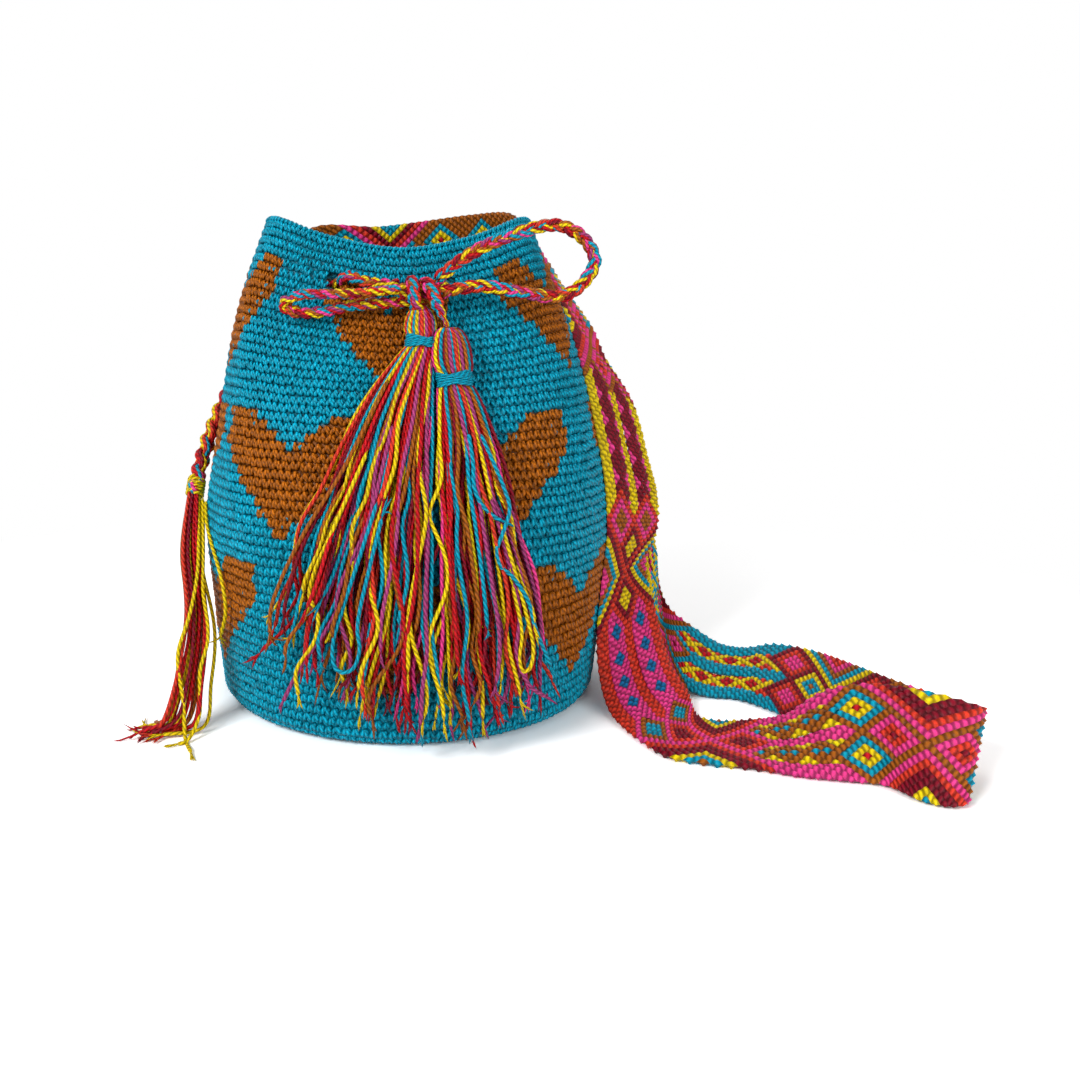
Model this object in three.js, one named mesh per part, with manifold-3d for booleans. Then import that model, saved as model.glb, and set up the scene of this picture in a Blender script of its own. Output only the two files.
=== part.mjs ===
// Crochet bucket bag with a drawstring mouth, thread tassels and a knotted crossbody strap.
// Millimetres, +Z up, seen from the -Y side. The origin is the centre of the base's underside.
// Angles round the bag are in degrees from the front (-Y), growing towards +X.
import * as THREE from 'three';
import { mergeVertices } from 'three/addons/utils/BufferGeometryUtils.js';
import Module from 'manifold-3d';

const wasm = await Module();
wasm.setup();

const DEG = Math.PI / 180;

// Bag body: profile radii and heights, then the crochet wall
const baseRadius = 93;
const baseEdgeRadius = 8;
const waistRadius = 97.5;
const waistHeight = 48;
const bellyRadius = 100;
const bellyHeight = 97;
const shoulderRadius = 86;
const shoulderHeight = 166;
const rimRadius = 64;
const rimHeight = 228;
const wallThickness = 4;
const baseThickness = 4;
const roundRidges = 18;
const ridgeDepth = 0.6;
const bodySegments = 48;

// How the drawn cord moves the round rim, [x, y, z] at every 30 degrees from the front
const mouthShift = [
  [-3, 17, -12], [-4, 8.4, -7], [-1.6, -2, 3.6], [-4, -2, 3], [-5.8, -2, 0], [-7, -8.4, -5],
  [-5, -13, -8], [-4, -9.4, -4], [-4.4, -4, 2], [-5.8, -4, 3.8], [-6.4, -4, 3.2], [-4, 15.4, -6],
];
// Share of the wall, from the base up, that the gathers leave round
const gatherStart = 0.45;

// Eyelets: their angles, their place up the wall, and the hole that the cord passes at a slant
const eyeletAngles = [-26, 19, 151, 209];
const eyeletPlace = 0.915;
const eyeletRadius = 4.3;
const eyeletSlant = 0.9;
const puckerDepth = 3;
const puckerWidth = 9;

// Colours
const teal = 0x12a3c0;
const caramel = 0x9c5a16;
const braidRed = 0xc0392b;
const threadYellow = 0xf0cf1c;
const strapPink = 0xd8436a;

// Hearts: how many go round, their size in degrees and in shares of the wall, and the rows' tip places
const heartsRound = 6;
const heartHalfWidth = 25;
const heartHeight = 0.23;
const heartDip = 0.07;
const heartRows = [
  { tip: 0.107, angle: -7 },
  { tip: 0.393, angle: -37 },
  { tip: 0.696, angle: -7 },
];

// Gap kept between pieces that touch
const touchGap = 0.3;

// Drawstring: braided cord laced through the eyelets, from the knot's right side round to its left side
const cordRadius = 3;
const cordSides = 8;
const cordStep = 10.5;
const drawstringRoute = [
  [12.5, -58.5, 199], [18.5, -51, 198.5], [24, -45, 197.5], [36, -44, 201], [51, -36.5, 207.5],
  [57.5, -24, 210], [59.5, -4.5, 209.5], [56.5, 13.5, 207.5], [50, 28.5, 206], [41.5, 38, 203],
  [29, 42, 201], [25.5, 49.5, 203.5], [22, 57, 205.5], [9.5, 62, 203.5], [-5, 62.5, 203],
  [-19.5, 61.5, 204], [-33, 56, 205.5], [-36.5, 48.5, 204], [-39.5, 41, 202.5], [-51.5, 36.5, 205.5],
  [-60, 27, 208], [-66.5, 10.5, 209.5], [-69, -6.5, 210.5], [-66.5, -23.5, 211], [-62.5, -34, 209],
  [-53.5, -37, 203.5], [-37.5, -36.5, 199.5], [-33, -43.5, 201], [-28.5, -51, 203.5], [-23.5, -54.5, 202],
  [-16, -56.5, 200], [-9.5, -58.5, 199.5], [-4, -59.5, 199],
];

// Bow: knot with two wraps, an open loop, a flat loop, and the cord's end that carries the right tassel
const knotCentre = [4.8, -64.5, 196];
const knotSize = [8, 5.6, 6.5];
const knotWrapRadius = 4.6;
const knotWrapPlaces = [-4.3, 3.7];
const tailStart = [9.5, -66.5, 192];
const rightLoopRoute = [
  [12.6, -67, 201], [20.9, -69, 207.5], [32, -71, 214.5], [49.8, -73, 221.6], [65.4, -74, 224.3],
  [76.5, -74, 218.9], [81.9, -73, 209.2], [76.5, -72, 198.9], [67.6, -71.5, 193.6], [49.8, -71, 195.4],
  [32, -70, 198], [20.9, -69, 196.7], [13.6, -67.5, 195],
];
const leftLoopRoute = [
  [-3.2, -68.5, 197], [-14, -70, 195.6], [-26, -70, 194.6], [-38, -68.5, 194.6], [-48, -65.5, 194.2],
  [-56, -61.5, 190.2], [-50, -62, 186.9], [-40, -63, 186.8], [-28, -64.2, 189], [-15, -65, 190.6],
  [-3.2, -64.5, 190.8],
];

// Front tassels: rows down each as [left z, right z, left x, right x, half depth, distance from the wall]
const tasselSides = 24;
const tasselClearance = 1;
const headGroove = 0.94;
const strandGroove = 0.8;
const hemStep = 6;
const bindingThickness = 1.7;
// A winding's outside as [share of its height, share of its thickness]
const windingOutside = [[0.08, 0.7], [0.35, 1], [0.65, 1], [0.92, 0.7]];
const tassels = [
  {
    name: 'left_tassel',
    head: [
      [188.9, 188.9, 0.6, 2.4, 0.9, 9.9], [188, 188, -1.2, 4.2, 2.7, 9.4],
      [184.9, 184.9, -2.9, 5.9, 4.4, 8.1], [180, 180, -3.8, 8, 5.2, 8.1], [177.4, 177.4, -3, 8.2, 4.8, 7.4],
    ],
    neck: [[176.2, 176.2, -1.8, 8, 4.2, 7.2], [172.2, 172.2, -1.8, 8, 4.2, 7.2]],
    skirt: [
      [170.8, 170.8, -3.6, 9.2, 5], [160, 160, -12, 10, 5.4], [140, 140, -24, 11, 5.8],
      [118, 118, -33.5, 12, 5.8], [97, 97, -41, 12.2, 5.8], [78, 60, -48, 12.2, 5.8],
      [62, 36, -54, 12.2, 5.6], [50, 15, -57, 12.2, 5.2],
    ],
  },
  {
    name: 'right_tassel',
    head: [
      [181, 181, 17.1, 18.9, 0.9, 10.6], [180.1, 180.1, 15.3, 20.7, 2.7, 10.1],
      [177, 177, 13.6, 22.4, 4.4, 8.1], [171, 171, 12.7, 25.2, 5.6, 8.1],
      [164, 164, 12.7, 27.4, 6, 8.1], [160.6, 160.6, 14, 27.6, 5.2, 7.8],
    ],
    neck: [[159.6, 159.6, 15.4, 26.6, 4.6, 7.6], [155.2, 155.2, 15.4, 26.6, 4.6, 7.6]],
    skirt: [
      [153.8, 153.8, 14, 28.6, 5.6], [140, 140, 13, 33, 6], [118, 118, 12.8, 40, 6], [97, 97, 12.8, 46, 6],
      [65, 68, 12.8, 54, 6], [38, 48, 12.8, 58, 5.8], [15, 32, 12.8, 60, 5.2],
    ],
  },
];

// Strap: knotted band, its length from the left end split in patterned stretches and stretches of strips
const strapWidth = 46;
const strapThickness = 3;
const strapStripWidth = 7.6;
const strapStrips = 5;
const strapTop = rimHeight + 12.5;
const strapRimDistance = 6;
const sewnDistance = strapThickness / 2 + ridgeDepth + 0.5;
const floorHeight = strapThickness / 2 + 0.1;
const cordClear = 2 * cordRadius + 4;
const stripStretches = [
  [14, 62], [180, 232], [285, 343], [398, 462], [512, 556], [716, 770], [826, 880], [935, 980],
];

// Side tassels: the strap's thread ends, plaited along the wall, wrapped, and then loose. Route points are
// [angle, height, distance from the wall]; strand rows are [share of the route, half width, half depth]
const braidSides = 12;
const wrapThickness = 1.6;
const plaitRadius = 5.5;
const plaitWaist = 0.8 * plaitRadius;
const plaitStart = 0.55 * plaitRadius;
const plaitNeck = 0.85 * plaitRadius;
const plaitLumps = 7;
const wrapShares = [0.375, 0.425];
const strandRows = [[0.44, 5.4, 5.4], [0.58, 6.4, 7.5], [0.75, 6.5, 9], [0.9, 5.6, 11], [1, 4.4, 12.5]];
const sideTassels = [
  {
    name: 'left_braid',
    route: [
      [-110, 152.5, 5], [-104, 143, 7.3], [-96, 128, 7.3], [-88, 113, 7.3], [-80, 100, 7.3],
      [-72, 76, 9.4], [-64.5, 51, 11.6], [-57.5, 27, 21], [-54, 9.5, 32],
    ],
  },
  {
    name: 'right_braid',
    route: [
      [137, 136.5, 4.6], [141, 124, 7.3], [143, 110, 7.3], [144, 96, 7.3],
      [144, 66, 9.6], [144, 36, 12.5], [144, 8, 16.5],
    ],
  },
];

const point = ([x, y, z]) => new THREE.Vector3(x, y, z);
const smoother = (t) => {
  const c = THREE.MathUtils.clamp(t, 0, 1);
  return c * c * c * (c * (6 * c - 15) + 10);
};

// A closed solid from rings of points that all run the same way round, with a point closing each end
function loft(rings) {
  const count = rings[0].length;
  const middle = (ring) => ring.reduce((sum, p) => sum.add(p), new THREE.Vector3()).divideScalar(count);
  const vertices = [middle(rings[0]), ...rings.flat(), middle(rings.at(-1))];
  const last = vertices.length - 1;
  const at = (ring, k) => 1 + ring * count + (k % count);
  const faces = [];
  for (let k = 0; k < count; k += 1) {
    faces.push(0, at(0, k + 1), at(0, k));
    faces.push(last, at(rings.length - 1, k), at(rings.length - 1, k + 1));
    for (let ring = 0; ring + 1 < rings.length; ring += 1) {
      faces.push(at(ring, k), at(ring, k + 1), at(ring + 1, k + 1));
      faces.push(at(ring, k), at(ring + 1, k + 1), at(ring + 1, k));
    }
  }
  return facingOut(vertices, faces);
}

// Vertices and triangles as a geometry whose faces point out
function facingOut(vertices, faces) {
  let volume = 0;
  for (let f = 0; f < faces.length; f += 3) {
    const [a, b, c] = [vertices[faces[f]], vertices[faces[f + 1]], vertices[faces[f + 2]]];
    volume += a.dot(b.clone().cross(c));
  }
  const geometry = new THREE.BufferGeometry();
  const places = vertices.flatMap((p) => p.toArray());
  geometry.setAttribute('position', new THREE.Float32BufferAttribute(places, 3));
  geometry.setIndex(volume < 0 ? faces.toReversed() : faces);
  geometry.computeVertexNormals();
  return geometry;
}

function solidOf(geometry) {
  const bare = geometry.clone();
  for (const name of Object.keys(bare.attributes)) {
    if (name !== 'position') bare.deleteAttribute(name);
  }
  const merged = mergeVertices(bare, 1e-3);
  return new wasm.Manifold(new wasm.Mesh({
    numProp: 3,
    vertProperties: Float32Array.from(merged.attributes.position.array),
    triVerts: Uint32Array.from(merged.index.array),
  }));
}

function geometryOf(solid) {
  const mesh = solid.getMesh();
  const geometry = new THREE.BufferGeometry();
  geometry.setAttribute('position', new THREE.Float32BufferAttribute(mesh.vertProperties, 3));
  geometry.setIndex(Array.from(mesh.triVerts));
  geometry.computeVertexNormals();
  return geometry;
}

// A round cord along a smooth curve through the points
function cord(points) {
  const section = new THREE.Shape();
  for (let k = 0; k < cordSides; k += 1) {
    const turn = (k / cordSides) * 2 * Math.PI;
    const corner = [cordRadius * Math.cos(turn), cordRadius * Math.sin(turn)];
    if (k === 0) section.moveTo(...corner);
    else section.lineTo(...corner);
  }
  const path = new THREE.CatmullRomCurve3(points.map(point));
  const steps = Math.ceil(path.getLength() / cordStep);
  return new THREE.ExtrudeGeometry(section, { steps, bevelEnabled: false, extrudePath: path });
}

// The wall's profile as radius and height, from the base's flat edge (0) to the rim (1), by length
const profile = (() => {
  const arcSteps = 6;
  const splineSteps = 60;
  const points = [];
  for (let k = 0; k < arcSteps; k += 1) {
    const turn = (k / arcSteps) * Math.PI / 2;
    const radius = baseRadius - baseEdgeRadius + baseEdgeRadius * Math.sin(turn);
    points.push(new THREE.Vector3(radius, baseEdgeRadius * (1 - Math.cos(turn)), 0));
  }
  const side = new THREE.CatmullRomCurve3([
    new THREE.Vector3(baseRadius, baseEdgeRadius, 0),
    new THREE.Vector3(waistRadius, waistHeight, 0),
    new THREE.Vector3(bellyRadius, bellyHeight, 0),
    new THREE.Vector3(shoulderRadius, shoulderHeight, 0),
    new THREE.Vector3(rimRadius, rimHeight, 0),
  ], false, 'catmullrom', 0.5);
  points.push(...side.getPoints(splineSteps));
  const lengths = [0];
  for (let k = 1; k < points.length; k += 1) {
    lengths.push(lengths[k - 1] + points[k].distanceTo(points[k - 1]));
  }
  const total = lengths.at(-1);
  const at = (share) => {
    const length = share * total;
    let k = 1;
    while (k < points.length - 1 && lengths[k] < length) k += 1;
    const part = (length - lengths[k - 1]) / (lengths[k] - lengths[k - 1]);
    return points[k - 1].clone().lerp(points[k], part);
  };
  return { at, total };
})();

const mouth = new THREE.CatmullRomCurve3(mouthShift.map(point), true, 'catmullrom', 0.5);

// A point of the wall's outside, before its ridges
function wallPoint(angle, share) {
  const { x: radius, y: height } = profile.at(share);
  const lift = smoother((share - gatherStart) / (1 - gatherStart));
  const shift = mouth.getPoint(THREE.MathUtils.euclideanModulo(angle / 360, 1));
  let pull = 0;
  for (const eyelet of eyeletAngles) {
    const across = (THREE.MathUtils.euclideanModulo(angle - eyelet + 180, 360) - 180) * DEG * radius;
    const along = (share - eyeletPlace) * profile.total;
    pull += puckerDepth * Math.exp(-(across ** 2 + along ** 2) / (2 * puckerWidth ** 2));
  }
  const turn = angle * DEG;
  return new THREE.Vector3(
    (radius - pull) * Math.sin(turn) + shift.x * lift,
    -(radius - pull) * Math.cos(turn) + shift.y * lift,
    height + shift.z * lift,
  );
}

function wallNormal(angle, share) {
  const low = Math.max(share - 0.01, 0);
  const high = Math.min(share + 0.01, 1);
  const round = wallPoint(angle + 1, share).sub(wallPoint(angle - 1, share));
  const up = wallPoint(angle, high).sub(wallPoint(angle, low));
  return round.cross(up).normalize();
}

const offWall = (angle, share, distance) => (
  wallPoint(angle, share).addScaledVector(wallNormal(angle, share), distance)
);

// The wall's share at a height, on one angle
function shareAt(angle, height) {
  let low = 0;
  let high = 1;
  for (let step = 0; step < 30; step += 1) {
    const share = (low + high) / 2;
    if (wallPoint(angle, share).z < height) low = share;
    else high = share;
  }
  return (low + high) / 2;
}

const onWall = (angle, height, distance) => offWall(angle, shareAt(angle, height), distance);

function inHeart(angle, share) {
  const spacing = 360 / heartsRound;
  return heartRows.some((row) => {
    const turn = THREE.MathUtils.euclideanModulo(angle - row.angle + spacing / 2, spacing);
    const side = Math.abs(turn - spacing / 2);
    const up = share - row.tip;
    const lobe = heartHalfWidth / 2;
    const top = heartHeight - heartDip * Math.max(0, 1 - side / lobe);
    return side < heartHalfWidth && up < top && up > (side / heartHalfWidth) * (heartHeight - heartDip);
  });
}

// Body: flat base, ridged wall, rounded rim and plain inside, with the eyelets cut through
function bagBody() {
  const angles = Array.from({ length: bodySegments }, (_, k) => (k * 360) / bodySegments);
  const ring = (place) => angles.map(place);
  const flat = (radius, height) => ring((a) => new THREE.Vector3(
    radius * Math.sin(a * DEG),
    -radius * Math.cos(a * DEG),
    height,
  ));
  const baseFlat = baseRadius - baseEdgeRadius;
  const rings = [flat(baseFlat / 2, 0)];
  const wallRings = 2 * roundRidges;
  for (let k = 0; k <= wallRings; k += 1) {
    const share = k / wallRings;
    const rise = k % 2 === 1 ? ridgeDepth : 0;
    rings.push(ring((a) => offWall(a, share, rise)));
  }
  const rimRound = wallThickness / 2;
  rings.push(ring((a) => offWall(a, 1, -rimRound).setZ(wallPoint(a, 1).z + rimRound)));
  const insideRings = 12;
  const insideFoot = shareAt(0, baseThickness + baseEdgeRadius);
  for (let k = 0; k <= insideRings; k += 1) {
    const share = 1 - (k / insideRings) * (1 - insideFoot);
    rings.push(ring((a) => offWall(a, share, -wallThickness)));
  }
  rings.push(flat(baseFlat - wallThickness, baseThickness), flat(baseFlat / 2, baseThickness));
  let body = solidOf(loft(rings));
  for (const [k, angle] of eyeletAngles.entries()) {
    const way = k % 2 === 1 ? 1 : -1;
    body = body.subtract(solidOf(eyeletCutter(angle, way)));
  }
  return geometryOf(body);
}

// The hole's axis leans along the wall, as the cord does where it passes from outside to inside
function eyeletCutter(angle, way) {
  const centre = offWall(angle, eyeletPlace, -wallThickness / 2);
  const along = wallPoint(angle + 1, eyeletPlace).sub(wallPoint(angle - 1, eyeletPlace)).normalize();
  const axis = wallNormal(angle, eyeletPlace).negate().addScaledVector(along, way * eyeletSlant).normalize();
  const cutter = new THREE.CylinderGeometry(eyeletRadius, eyeletRadius, 6 * wallThickness, 12);
  cutter.applyQuaternion(new THREE.Quaternion().setFromUnitVectors(new THREE.Vector3(0, 1, 0), axis));
  return cutter.translate(...centre.toArray());
}

// A winding that closes on itself, from rings of points that all run the same way round
function band(rings) {
  const count = rings[0].length;
  const at = (ring, k) => (ring % rings.length) * count + (k % count);
  const faces = [];
  for (let ring = 0; ring < rings.length; ring += 1) {
    for (let k = 0; k < count; k += 1) {
      faces.push(at(ring, k), at(ring, k + 1), at(ring + 1, k + 1));
      faces.push(at(ring, k), at(ring + 1, k + 1), at(ring + 1, k));
    }
  }
  return facingOut(rings.flat(), faces);
}

// A point at x and z that hangs a distance in front of the wall, and below the belly in front of the belly
function inFrontOfWall(x, z, distance) {
  const height = Math.max(z, bellyHeight);
  let angle = 0;
  let place = new THREE.Vector3();
  for (let step = 0; step < 6; step += 1) {
    place = wallPoint(angle, shareAt(angle, height));
    place.x += distance * Math.sin(angle * DEG);
    place.y -= distance * Math.cos(angle * DEG);
    angle += (x - place.x) / (bellyRadius * DEG);
  }
  return place.set(x, place.y, z);
}

function tasselRing(row, { groove = 1, grow = 0, step = 0 } = {}) {
  const [leftZ, rightZ, leftX, rightX, depth, distance = tasselClearance + ridgeDepth + depth] = row;
  const half = (rightX - leftX) / 2 + grow;
  return Array.from({ length: tasselSides }, (_, k) => {
    const turn = (k / tasselSides) * 2 * Math.PI;
    const inGroove = k % 2 === 1;
    const size = inGroove ? groove : 1;
    const across = size * Math.cos(turn);
    const z = THREE.MathUtils.lerp(leftZ, rightZ, (across + 1) / 2) + (inGroove ? step : 0);
    const x = (leftX + rightX) / 2 + half * across;
    return inFrontOfWall(x, z, distance + (depth + grow) * size * Math.sin(turn));
  });
}

function frontTassel({ head, neck, skirt }) {
  return loft([
    ...head.map((row) => tasselRing(row, { groove: headGroove })),
    ...neck.map((row) => tasselRing(row)),
    ...skirt.slice(0, -1).map((row) => tasselRing(row, { groove: strandGroove })),
    tasselRing(skirt.at(-1), { groove: strandGroove, step: hemStep }),
  ]);
}

// Thread wound round a tassel's neck, fuller in its middle
function tasselBinding({ neck: [top, bottom] }) {
  const row = (share) => top.map((value, k) => THREE.MathUtils.lerp(value, bottom[k], share));
  const outside = windingOutside.map(([share, full]) => (
    tasselRing(row(share), { grow: touchGap + full * bindingThickness })
  ));
  const ends = [windingOutside.at(-1), windingOutside[0]];
  const inside = ends.map(([share]) => tasselRing(row(share), { grow: touchGap }));
  return band([...outside, ...inside]);
}

// Knot: a core, two wraps round it and the cord's end that carries the right tassel
function bowKnot(rightPivot, rightCap) {
  const [x, y, z] = knotCentre;
  let knot = solidOf(new THREE.SphereGeometry(1, 14, 9).scale(...knotSize).translate(x, y, z));
  for (const place of knotWrapPlaces) {
    const wrap = new THREE.TorusGeometry(knotWrapRadius, cordRadius, cordSides, 14);
    knot = knot.add(solidOf(wrap.rotateY(Math.PI / 2).translate(x + place, y, z)));
  }
  const start = point(tailStart);
  const end = rightPivot.clone().add(start.clone().sub(rightPivot).setLength(rightCap + touchGap));
  knot = knot.add(solidOf(cord([tailStart, end.toArray()])));
  return geometryOf(knot);
}

// Strap stations are [first edge, middle, other edge]: here sewn to the wall round an angle
function sewnStation(angle, side, height, distance) {
  const half = (side * strapWidth) / (2 * shoulderRadius * DEG);
  return [half, 0, -half].map((turn) => onWall(angle + turn, height, distance));
}

// A station that hangs free, from its first edge towards where its other edge lies
function freeStation(edge, towards) {
  const first = point(edge);
  const other = first.clone().add(point(towards).sub(first).setLength(strapWidth));
  return [first, first.clone().lerp(other, 0.5), other];
}

// A station beside the wall, both edges given as [angle, height, distance from the wall]
function hangingStation(first, towards) {
  return freeStation(onWall(...first).toArray(), onWall(...towards).toArray());
}

// A station that stands behind the mouth, its lower edge clear of the cord on the wall's outside
function behindMouth(angle, footAngle, rise) {
  const outward = new THREE.Vector3(Math.sin(angle * DEG), -Math.cos(angle * DEG), 0);
  const height = strapTop + rise;
  const top = wallPoint(angle, 1).addScaledVector(outward, strapRimDistance).setZ(height);
  return freeStation(top.toArray(), onWall(footAngle, height - strapWidth, cordClear).toArray());
}

function strapStations() {
  const sewn = sewnDistance;
  const floor = floorHeight;
  return [
    sewnStation(-122, 1, 155, sewn),
    sewnStation(-122, 1, 172, sewn),
    [onWall(-107, 194, sewn), onWall(-123, 189, sewn), onWall(-139, 182, sewn)],
    [onWall(-113, 213, sewn + 0.5), onWall(-129, 203, sewn + 0.5), onWall(-143, 190, sewn + 0.5)],
    [onWall(-122, 228, sewn + 0.5), onWall(-138, 212, sewn + 1.5), onWall(-151, 194, sewn + 2.5)],
    behindMouth(-140, -161, -3),
    behindMouth(-168, -168, -2.5),
    behindMouth(180, 180, -1),
    behindMouth(163, 163, 1.5),
    behindMouth(143, 143, 3.5),
    behindMouth(121, 121, 2.5),
    hangingStation([103, 232, 4.1], [112, 190, 12.2]),
    hangingStation([88, 213, 2.8], [101, 176, 18]),
    hangingStation([80, 189, 2.4], [97, 157, 18.5]),
    hangingStation([76, 161, 2.3], [92.5, 135, 24]),
    hangingStation([73, 131, 2.3], [90, 108, 26]),
    hangingStation([71.5, 105, 2.6], [89.5, 93, 27.5]),
    hangingStation([71, 80, 2.6], [90, 77, 27.5]),
    hangingStation([70, 56, 2.5], [91, 61, 24]),
    hangingStation([67.5, 33, 3.6], [86.5, 42, 28.5]),
    hangingStation([65, 16, 6.6], [83, 29, 33.4]),
    freeStation([92.5, -58, 4], [125.5, -35, 12]),
    freeStation([96, -73, floor], [127, -50, 6]),
    freeStation([101.5, -91, floor], [130, -59, 3]),
    freeStation([108.5, -105.5, floor], [135.5, -62.5, 2]),
    freeStation([122, -112, floor], [143, -66, floor]),
    freeStation([140, -117, floor], [152, -74, 3]),
    freeStation([157, -125, floor], [167, -80, 9]),
    freeStation([171, -128.5, floor], [179, -87, 21]),
    freeStation([186, -133, floor], [195, -96, 28]),
    freeStation([194, -146.5, floor], [211, -114, 33]),
    freeStation([203.5, -151, floor], [230, -119, 31]),
    freeStation([209, -148.5, floor], [235.5, -114.5, 27.5]),
    freeStation([206.5, -142, floor], [230, -106, 26]),
    freeStation([196, -124, floor], [213, -92, 23.5]),
    freeStation([186, -98, floor], [200, -74, 17.5]),
    freeStation([176, -70, floor], [192, -45, 16.5]),
    freeStation([167, -51, floor], [184, -18, 16.5]),
    freeStation([157, -40, floor], [175, 0, 12.5]),
    freeStation([147, -38, floor], [165, 7, 15.5]),
    freeStation([138, -34, 3], [154, 11, 23]),
    freeStation([131, -22, 8], [141, 22, 32]),
    freeStation([129, -6, 20], [138, 38, 44]),
    hangingStation([94, 41, 31.5], [109, 63, 48]),
    hangingStation([99, 65, 27.4], [115, 82, 46.1]),
    hangingStation([105, 89, 20.8], [123, 101, 40.6]),
    hangingStation([112, 115, 17.2], [132, 121, 33.7]),
    hangingStation([117, 139, 16.9], [140, 140, 29]),
    sewnStation(137, -1, 167, 15),
    sewnStation(137, -1, 181, 14.5),
    sewnStation(137, -1, 190, 9),
    sewnStation(137, -1, 183, sewn + 0.8),
    sewnStation(137, -1, 167, sewn),
    sewnStation(137, -1, 152, sewn),
    sewnStation(137, -1, 138, sewn),
  ];
}

// The band as a thick grid, with a column for each strip and for each slit between strips
function strap() {
  const stations = strapStations();
  const edges = [0, 1, 2].map((k) => new THREE.CatmullRomCurve3(stations.map((station) => station[k])));
  const place = (along, share) => {
    const [first, middle, other] = edges.map((edge) => edge.getPoint(along));
    return first.multiplyScalar((2 * share - 1) * (share - 1))
      .addScaledVector(middle, 4 * share * (1 - share))
      .addScaledVector(other, share * (2 * share - 1));
  };
  const slitWidth = (strapWidth - strapStrips * strapStripWidth) / (strapStrips - 1);
  const shares = [];
  for (let strip = 0; strip < strapStrips; strip += 1) {
    const start = strip * (strapStripWidth + slitWidth);
    shares.push(start / strapWidth, (start + strapStripWidth) / strapWidth);
  }
  const rows = stations.length - 1;
  const columns = shares.length - 1;
  const vertices = [];
  for (let row = 0; row <= rows; row += 1) {
    const along = row / rows;
    const before = Math.max(along - 0.002, 0);
    const after = Math.min(along + 0.002, 1);
    for (const share of shares) {
      const forward = place(after, share).sub(place(before, share));
      const across = place(along, share + 0.02).sub(place(along, share - 0.02));
      const normal = forward.cross(across).setLength(strapThickness / 2);
      const centre = place(along, share);
      vertices.push(centre.clone().add(normal), centre.clone().sub(normal));
    }
  }
  const lengths = [0];
  for (let row = 1; row <= rows; row += 1) {
    lengths.push(lengths[row - 1] + place(row / rows, 0.5).distanceTo(place((row - 1) / rows, 0.5)));
  }
  const isCloth = (row, column) => {
    if (row < 0 || row >= rows || column < 0 || column >= columns) return false;
    const middle = (lengths[row] + lengths[row + 1]) / 2;
    return column % 2 === 0 || !stripStretches.some(([from, to]) => middle > from && middle < to);
  };
  const at = (row, column, side) => 2 * (row * shares.length + column) + side;
  const faces = [];
  const quad = (a, b, c, d) => faces.push(a, b, c, a, c, d);
  for (let row = 0; row < rows; row += 1) {
    for (let column = 0; column < columns; column += 1) {
      if (!isCloth(row, column)) continue;
      const corners = [[row, column], [row + 1, column], [row + 1, column + 1], [row, column + 1]];
      const neighbours = [[row, column - 1], [row + 1, column], [row, column + 1], [row - 1, column]];
      quad(...corners.map((corner) => at(...corner, 0)));
      quad(...corners.toReversed().map((corner) => at(...corner, 1)));
      for (let k = 0; k < 4; k += 1) {
        if (isCloth(...neighbours[k])) continue;
        const from = corners[k];
        const to = corners[(k + 1) % 4];
        quad(at(...to, 0), at(...from, 0), at(...from, 1), at(...to, 1));
      }
    }
  }
  return facingOut(vertices, faces);
}

// A ring of points round a route, wide along the wall and deep away from the bag's axis
function bundleRing(route, [share, wide, deep], { groove = 1, grow = 0, step = 0 } = {}) {
  const centre = route.getPointAt(share);
  const forward = route.getTangentAt(share);
  const outward = new THREE.Vector3(centre.x, centre.y, 0).projectOnPlane(forward).normalize();
  const side = forward.clone().cross(outward);
  return Array.from({ length: braidSides }, (_, k) => {
    const turn = (k / braidSides) * 2 * Math.PI;
    const inGroove = k % 2 === 1;
    const size = inGroove ? groove : 1;
    return centre.clone()
      .addScaledVector(side, (wide + grow) * size * Math.cos(turn))
      .addScaledVector(outward, (deep + grow) * size * Math.sin(turn))
      .addScaledVector(forward, inGroove ? -step : 0);
  });
}

const sideRoute = ({ route }) => new THREE.CatmullRomCurve3(route.map((place) => onWall(...place)));

function sideTassel(tassel) {
  const route = sideRoute(tassel);
  const lumps = Array.from({ length: plaitLumps }, (_, k) => {
    const share = ((k + 0.7) / plaitLumps) * wrapShares[0];
    const [wide, deep] = k % 2 === 0 ? [plaitRadius, plaitWaist] : [plaitWaist, plaitRadius];
    return bundleRing(route, [share, wide, deep]);
  });
  return loft([
    bundleRing(route, [0, plaitStart, plaitStart]),
    ...lumps,
    ...wrapShares.map((share) => bundleRing(route, [share, plaitNeck, plaitNeck])),
    ...strandRows.slice(0, -1).map((row) => bundleRing(route, row, { groove: strandGroove })),
    bundleRing(route, strandRows.at(-1), { groove: strandGroove, step: hemStep }),
  ]);
}

// Thread wound round the foot of the plait
function sideWrap(tassel) {
  const route = sideRoute(tassel);
  const ring = (part, grow) => (
    bundleRing(route, [THREE.MathUtils.lerp(...wrapShares, part), plaitNeck, plaitNeck], { grow })
  );
  const outside = windingOutside.map(([part, full]) => ring(part, touchGap + full * wrapThickness));
  const ends = [windingOutside.at(-1), windingOutside[0]];
  const inside = ends.map(([part]) => ring(part, touchGap));
  return band([...outside, ...inside]);
}

function material(color) {
  return new THREE.MeshStandardMaterial({ color, roughness: 0.85, metalness: 0 });
}

function mesh(name, geometry, color) {
  const made = new THREE.Mesh(geometry, material(color));
  made.name = name;
  return made;
}

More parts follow.
